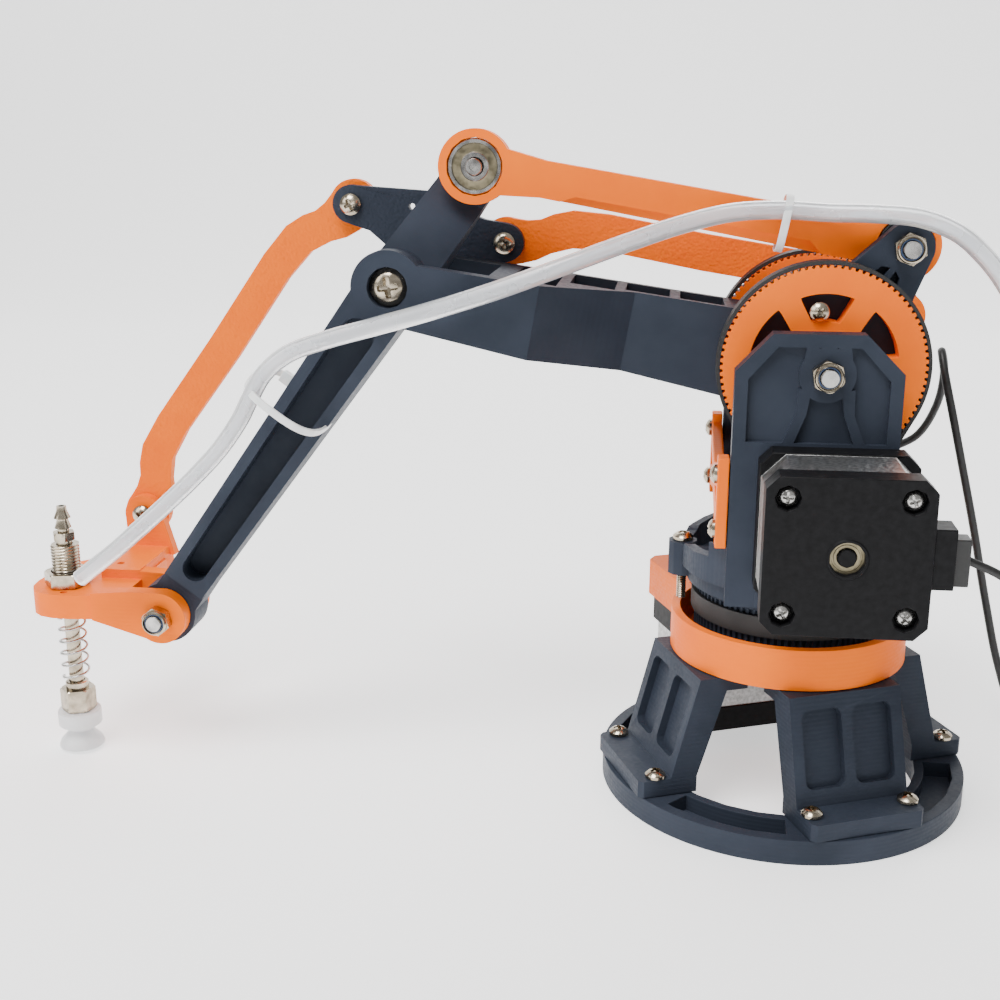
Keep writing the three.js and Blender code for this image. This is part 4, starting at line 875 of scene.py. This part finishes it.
tool_piece("threaded_bush", bush, "nickel", "holder_unit", "suction_bush", 40)
tool_piece("bush_hex_nut", lambda b: hexagon(b, 0.0072, z(PLATE_TOP + 0.3), z(PLATE_TOP + 4.8), 0.0005, hole=0.0049),
           "nickel", "holder_unit", "suction_bush_nut", 25, 0.2)
tool_piece("sprung_rod", rod, "nickel", "plunger_unit", "suction_rod")
tool_piece("coupler_hex", coupler, "nickel", "plunger_unit", "suction_coupler", 25, 0.35)
tool_piece("cup_socket", cup_body, "cup", "plunger_unit", "suction_body")
tool_piece("cup_lip", cup, "cup", "plunger_unit", "suction_cup")
coil_spring = bpy.data.objects.new("coil_spring", bpy.data.meshes.new("coil_spring"))
bm = placed(spring, P(*TOOL, 0), (0, 0, 1))
bm.to_mesh(coil_spring.data)
bm.free()
coil_spring.data.materials.append(MATS["steel"])
coil_spring.data.shade_smooth()
bpy.context.collection.objects.link(coil_spring)
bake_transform(coil_spring)
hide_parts("suction_spring")


# ---- hose ---------------------------------------------------------------------------
HOSE_RADIUS = 2.6 * MM
HOSE_BORE = 1.75 * MM
COIL_AT, COIL_RADIUS, COIL_TURNS = (122, 2), 30, 2.9
CABLE_BORE = 0.5
SPAN_POINTS = 10
ROUTE = [
    (-213, -29, 65.5), (-208, -29.5, 69.5), (-201, -30, 75), (-193, -30, 82), (-184, -29.5, 90), (-175, -29, 98.5),
    (-167, -28.5, 107), (-160.5, -28.3, 116), (-157.5, -28.5, 121.5), (-152.5, -29, 129.5), (-145, -29.8, 135.5),
    (-134, -30, 139.6), (-120, -30, 143.6), (-104, -30, 148.2), (-86, -29.4, 154), (-68, -25.5, 160.4),
    (-50, -19.5, 166.8), (-36, -13.6, 171.2), (-22, -8.8, 174.2), (-8, -7, 174.8), (4, -7.4, 174.2),
    (16, -10.8, 174.2), (28, -14.2, 173.2), (37, -16.6, 169.6), (43, -19, 164.6), (49, -22.5, 157),
    (55.5, -27, 144), (62, -32, 126),
    (68, -36.5, 105), (72, -39.5, 83), (75.5, -42, 60), (79.5, -43, 38), (84, -43, 20), (92, -42, 8.6),
    (101, -38, 2.9), (112, -33, 2.9),
]


def coil(at, radius, turns, start, rise, foot):
    """Points of a neat coil lying on the desk: each turn is flat and climbs onto the next over its last quarter."""
    steps, points = 24, []
    for i in range(1, int(turns * steps)):
        whole, part = divmod(i / steps, 1)
        climb = max(0.0, (part - 0.72) / 0.28)
        climb = climb * climb * (3 - 2 * climb)
        turn = math.radians(start) + TAU * i / steps
        x, y = at[0] + radius * math.cos(turn), at[1] + radius * math.sin(turn)
        points.append((x, y, foot + rise * (whole + climb)))
    return points


ROUTE += coil(COIL_AT, COIL_RADIUS, COIL_TURNS, -75, 5.4, 2.9)


def smooth_route(points, per_span=SPAN_POINTS):
    """A centripetal Catmull-Rom line through the points, in metres."""
    ps = [P(*p) for p in points]
    ps = [ps[0] * 2 - ps[1]] + ps + [ps[-1] * 2 - ps[-2]]
    out = []
    for k in range(1, len(ps) - 2):
        p0, p1, p2, p3 = ps[k - 1:k + 3]
        t0 = 0.0
        t1 = t0 + math.sqrt((p1 - p0).length)
        t2 = t1 + math.sqrt((p2 - p1).length)
        t3 = t2 + math.sqrt((p3 - p2).length)
        for i in range(per_span):
            t = t1 + (t2 - t1) * i / per_span
            a1 = p0 * ((t1 - t) / (t1 - t0)) + p1 * ((t - t0) / (t1 - t0))
            a2 = p1 * ((t2 - t) / (t2 - t1)) + p2 * ((t - t1) / (t2 - t1))
            a3 = p2 * ((t3 - t) / (t3 - t2)) + p3 * ((t - t2) / (t3 - t2))
            b1 = a1 * ((t2 - t) / (t2 - t0)) + a2 * ((t - t0) / (t2 - t0))
            b2 = a2 * ((t3 - t) / (t3 - t1)) + a3 * ((t - t1) / (t3 - t1))
            out.append(b1 * ((t2 - t) / (t2 - t1)) + b2 * ((t - t1) / (t2 - t1)))
    out.append(ps[-2])
    return out


def route_frames(line):
    """A sideways direction at every point that turns as little as it can."""
    frames, side = [], None
    for i, p in enumerate(line):
        tangent = (line[min(i + 1, len(line) - 1)] - line[max(i - 1, 0)]).normalized()
        if side is None:
            side = tangent.orthogonal().normalized()
        side = (side - tangent * side.dot(tangent)).normalized()
        frames.append((side, tangent.cross(side)))
    return frames


HOSE_LINE = smooth_route(ROUTE)
HOSE_FRAMES = route_frames(HOSE_LINE)


def tube(name, start, end, radius, bore, material, capped, line=None, frames=None):
    line, frames = line or HOSE_LINE, frames or HOSE_FRAMES
    sides = 20
    bm = bmesh.new()
    layers = []
    for r in (radius, bore):
        rings = []
        for i in range(start, end + 1):
            u, v = frames[i]
            rings.append([bm.verts.new(line[i] + (u * math.cos(TAU * s / sides) + v * math.sin(TAU * s / sides)) * r)
                          for s in range(sides)])
        layers.append(rings)
    for rings, flip in zip(layers, (False, True)):
        for a, b in zip(rings, rings[1:]):
            for s in range(sides):
                q = (s + 1) % sides
                loop = (a[s], a[q], b[q], b[s])
                bm.faces.new(loop if flip else tuple(reversed(loop)))
    if capped:
        outer, inner = layers[0][0], layers[1][0]
        for s in range(sides):
            q = (s + 1) % sides
            bm.faces.new((outer[s], outer[q], inner[q], inner[s]))
    mesh = bpy.data.meshes.new(name)
    bm.to_mesh(mesh)
    bm.free()
    mesh.materials.append(MATS[material])
    mesh.shade_smooth()
    obj = bpy.data.objects.new(name, mesh)
    bpy.context.collection.objects.link(obj)
    return obj


def length_of(points):
    return sum((b - a).length for a, b in zip(points, points[1:]))


def nearest(x):
    """The route's point index where it first passes that X, in the model's millimetres."""
    return next(i for i, p in enumerate(HOSE_LINE) if p.x >= P(x, 0, 0).x)


# each stretch follows one body, or lies across one joint and stays fixed where it is drawn; the next starts where the
# last one ends
STRETCHES = [
    ("hose_end", -157.5, "forearm_unit", None, "hose_tip"),
    ("hose_over_forearm", -120, "forearm_unit", "front_bearing_unit", None),
    ("hose_over_arm", -78, "front_bearing_unit", "rear_link_unit", None),
    ("hose_on_link", -14, "rear_link_unit", None, "hose_span"),
    ("hose_past_wheel", 20, "rear_link_unit", "rear_bearing_unit", None),
    ("hose_past_crank", 50, "rear_bearing_unit", "crank_unit", None),
    ("hose_behind_crank", 63, "crank_unit", "turntable", None),
    ("hose_fall", 84, "turntable", "base", "hose_tail"),
    ("hose_loop", None, "base", None, "hose_coil"),
]
start = 0
for order, (name, stop, body, other, stands_for) in enumerate(STRETCHES):
    end = nearest(stop) if stop is not None else len(HOSE_LINE) - 1
    obj = tube(name, start, end, HOSE_RADIUS, HOSE_BORE, "silicone", capped=order == 0)
    path = HOSE_LINE[start:end + 1]
    if order == 0:
        path = list(reversed(path))
    if other:
        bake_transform(obj)
    else:
        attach(obj, body)
    if stands_for:
        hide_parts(stands_for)
    tuple(path[0])
    length_of(path)
    [tuple(p) for p in path]
    start = end


# ---- cable ties ---------------------------------------------------------------------
def tie(name, centre, along, body, size_a, size_b, width, lean, thick=0.0009):
    """A thin nylon band round the hose and the beam behind it, with a small square head."""
    axis = Vector(along).normalized()
    turn = frame_of(axis)
    a = (turn @ Vector((1, 0, 0))).normalized()
    b = (turn @ Vector((0, 1, 0))).normalized()
    bm = bmesh.new()
    sides = 56
    rings = []
    for i in range(sides):
        angle = TAU * i / sides
        flat = 3.0
        c, s = math.cos(angle), math.sin(angle)
        r = (abs(c) ** flat + abs(s) ** flat) ** (-1 / flat)
        point = Vector(centre) + a * (size_a * r * c) + b * (size_b * r * s)
        out = (a * c + b * s).normalized()
        rings.append([bm.verts.new(point + out * o + axis * w) for o, w in
                      ((0, -width / 2), (thick, -width / 2), (thick, width / 2), (0, width / 2))])
    for i in range(sides):
        p, q = rings[i], rings[(i + 1) % sides]
        for k in range(4):
            n = (k + 1) % 4
            bm.faces.new((p[k], p[n], q[n], q[k]))
    head = bmesh.new()
    bmesh.ops.create_cube(head, size=1)
    for v in head.verts:
        v.co = Vector(centre) + a * (size_a * math.cos(lean) + v.co.x * 0.003) + b * (
            size_b * math.sin(lean) + v.co.y * 0.0042) + axis * v.co.z * 0.0036
    return finish_object(name, merge([bm, head]), "nylon", body, bevel=0.0002)


FOREARM_ALONG = (WRIST[0] - ELBOW[0], 0, WRIST[1] - ELBOW[1])
LINK_ALONG = (LINK_B[0] - LINK_A[0], 0, LINK_B[1] - LINK_A[1])
tie("cable_tie_forearm", P(-149.0, -15.0, 119.0), FOREARM_ALONG, "forearm_unit", 0.0175, 0.0125, 0.0022, 2.6)
tie("cable_tie_link", P(-8.0, -3.6, 171.0), LINK_ALONG, "rear_link_unit", 0.0059, 0.0077, 0.0022, 0.2, 0.00033)


# ---- motor cables ---------------------------------------------------------------------
def cable(name, hanging, lying, radius, coil_at, start, turns):
    """A cable that hangs from a moving body to the desk and ends in a small coil with a plug."""
    thick = radius / MM
    split = len(hanging) - 1
    points = hanging + lying + coil(coil_at, 11 * thick, turns, start, 2.15 * thick, 1.1 * thick)
    line = smooth_route(points)
    frames = route_frames(line)
    cut_at = split * SPAN_POINTS
    pieces = []
    for suffix, first, last in (("_hanging", 0, cut_at), ("_coil", cut_at, len(line) - 1)):
        obj = tube(name + suffix, first, last, radius, radius * CABLE_BORE, "cable", False, line,
                   frames)
        pieces.append((obj, line[first:last + 1]))
    tip, back = line[-1], (line[-1] - line[-4]).normalized()
    def plug(bm):
        bmesh.ops.create_cube(bm, size=1)
        for v in bm.verts:
            v.co = Vector((v.co.x * 0.0062, v.co.y * 0.0042, v.co.z * 0.009 + 0.0044))
    plug_piece = finish_object(name + "_plug", placed(plug, tip, back), "nylon", "base", bevel=0.0003)
    (fall, fall_path), (rest, rest_path) = pieces
    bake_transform(fall)
    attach(rest, "base")
    length_of(fall_path)
    length_of(rest_path)


cable("elbow_motor_cable",
      [(38.6, -57.8, 91), (46.5, -58, 87.5), (58, -57.5, 79), (69, -57, 64), (78, -57, 46), (86, -57, 28),
       (94, -57, 12), (103, -58, 3)],
      [(111, -59.6, 1.3), (118, -60, 1.2)], 0.0011, (126, -48), -90, 3.6)
cable("shoulder_motor_cable",
      [(38.6, 67.8, 91), (46, 66, 96), (50.5, 60, 108), (50.5, 53, 121), (48, 47, 128), (48.5, 42, 122), (52, 40, 108),
       (56.5, 40, 91), (61.5, 40, 72), (68, 41, 46), (74, 41, 24), (80, 40.5, 9), (87, 40.2, 2.4)],
      [(94, 40.2, 1.5)], 0.0013, (102, 54.5), -90, 2.6)


# ---- floor, backdrop and light ----------------------------------------------------------
def flat_material(name, colour, rough):
    mat, tree, bsdf = new_material(name, colour, rough)
    vector = coordinates(tree, (1, 1, 1))
    bump(tree, bsdf, noise(tree, vector, 400, 3), 0.00005, 0.15)
    return mat


floor_mesh = bpy.data.meshes.new("floor")
bm = bmesh.new()
profile = [(-1.6, 0.0), (0.9, 0.0)] + [(0.9 + 0.5 * math.sin(t), 0.5 - 0.5 * math.cos(t)) for t in
                                       [math.radians(9 * k) for k in range(1, 11)]] + [(1.4, 2.4)]
lines = [[bm.verts.new((x, y, z_)) for y, z_ in profile] for x in (-3.0, 3.0)]
for i in range(len(profile) - 1):
    bm.faces.new((lines[0][i], lines[1][i], lines[1][i + 1], lines[0][i + 1]))
bm.to_mesh(floor_mesh)
bm.free()
floor_mesh.shade_smooth()
paper = flat_material("paper", (0.95, 0.95, 0.95), 0.7)
paper.node_tree.nodes["Principled BSDF"].inputs["Emission Color"].default_value = (1, 1, 1, 1)
paper.node_tree.nodes["Principled BSDF"].inputs["Emission Strength"].default_value = 0.9
floor_mesh.materials.append(paper)
floor = bpy.data.objects.new("floor", floor_mesh)
bpy.context.collection.objects.link(floor)

world = bpy.data.worlds.new("studio")
world.use_nodes = True
world.node_tree.nodes["Background"].inputs["Color"].default_value = (1, 1, 1, 1)
world.node_tree.nodes["Background"].inputs["Strength"].default_value = 0.45
bpy.context.scene.world = world


def area_light(name, location, target, size, power):
    data = bpy.data.lights.new(name, "AREA")
    data.shape = "RECTANGLE"
    data.size, data.size_y = size
    data.energy = power
    obj = bpy.data.objects.new(name, data)
    obj.location = location
    obj.rotation_euler = (Vector(target) - Vector(location)).to_track_quat("-Z", "Y").to_euler()
    bpy.context.collection.objects.link(obj)
    return obj


area_light("key", (-0.25, -0.5, 1.1), (0, 0, 0.08), (0.6, 0.5), 15)
area_light("side", (-0.9, -0.5, 0.7), (0, 0, 0.1), (0.7, 0.7), 5)
area_light("back", (0.1, 1.0, 0.9), (0, 0, 0.1), (1.4, 0.6), 7)

# the CAD nodes' own material slots get finished materials as well
for node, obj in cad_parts.items():
    if not obj.hide_render:
        for slot_index in range(len(obj.data.materials)):
            obj.data.materials[slot_index] = MATS["slate_z"]
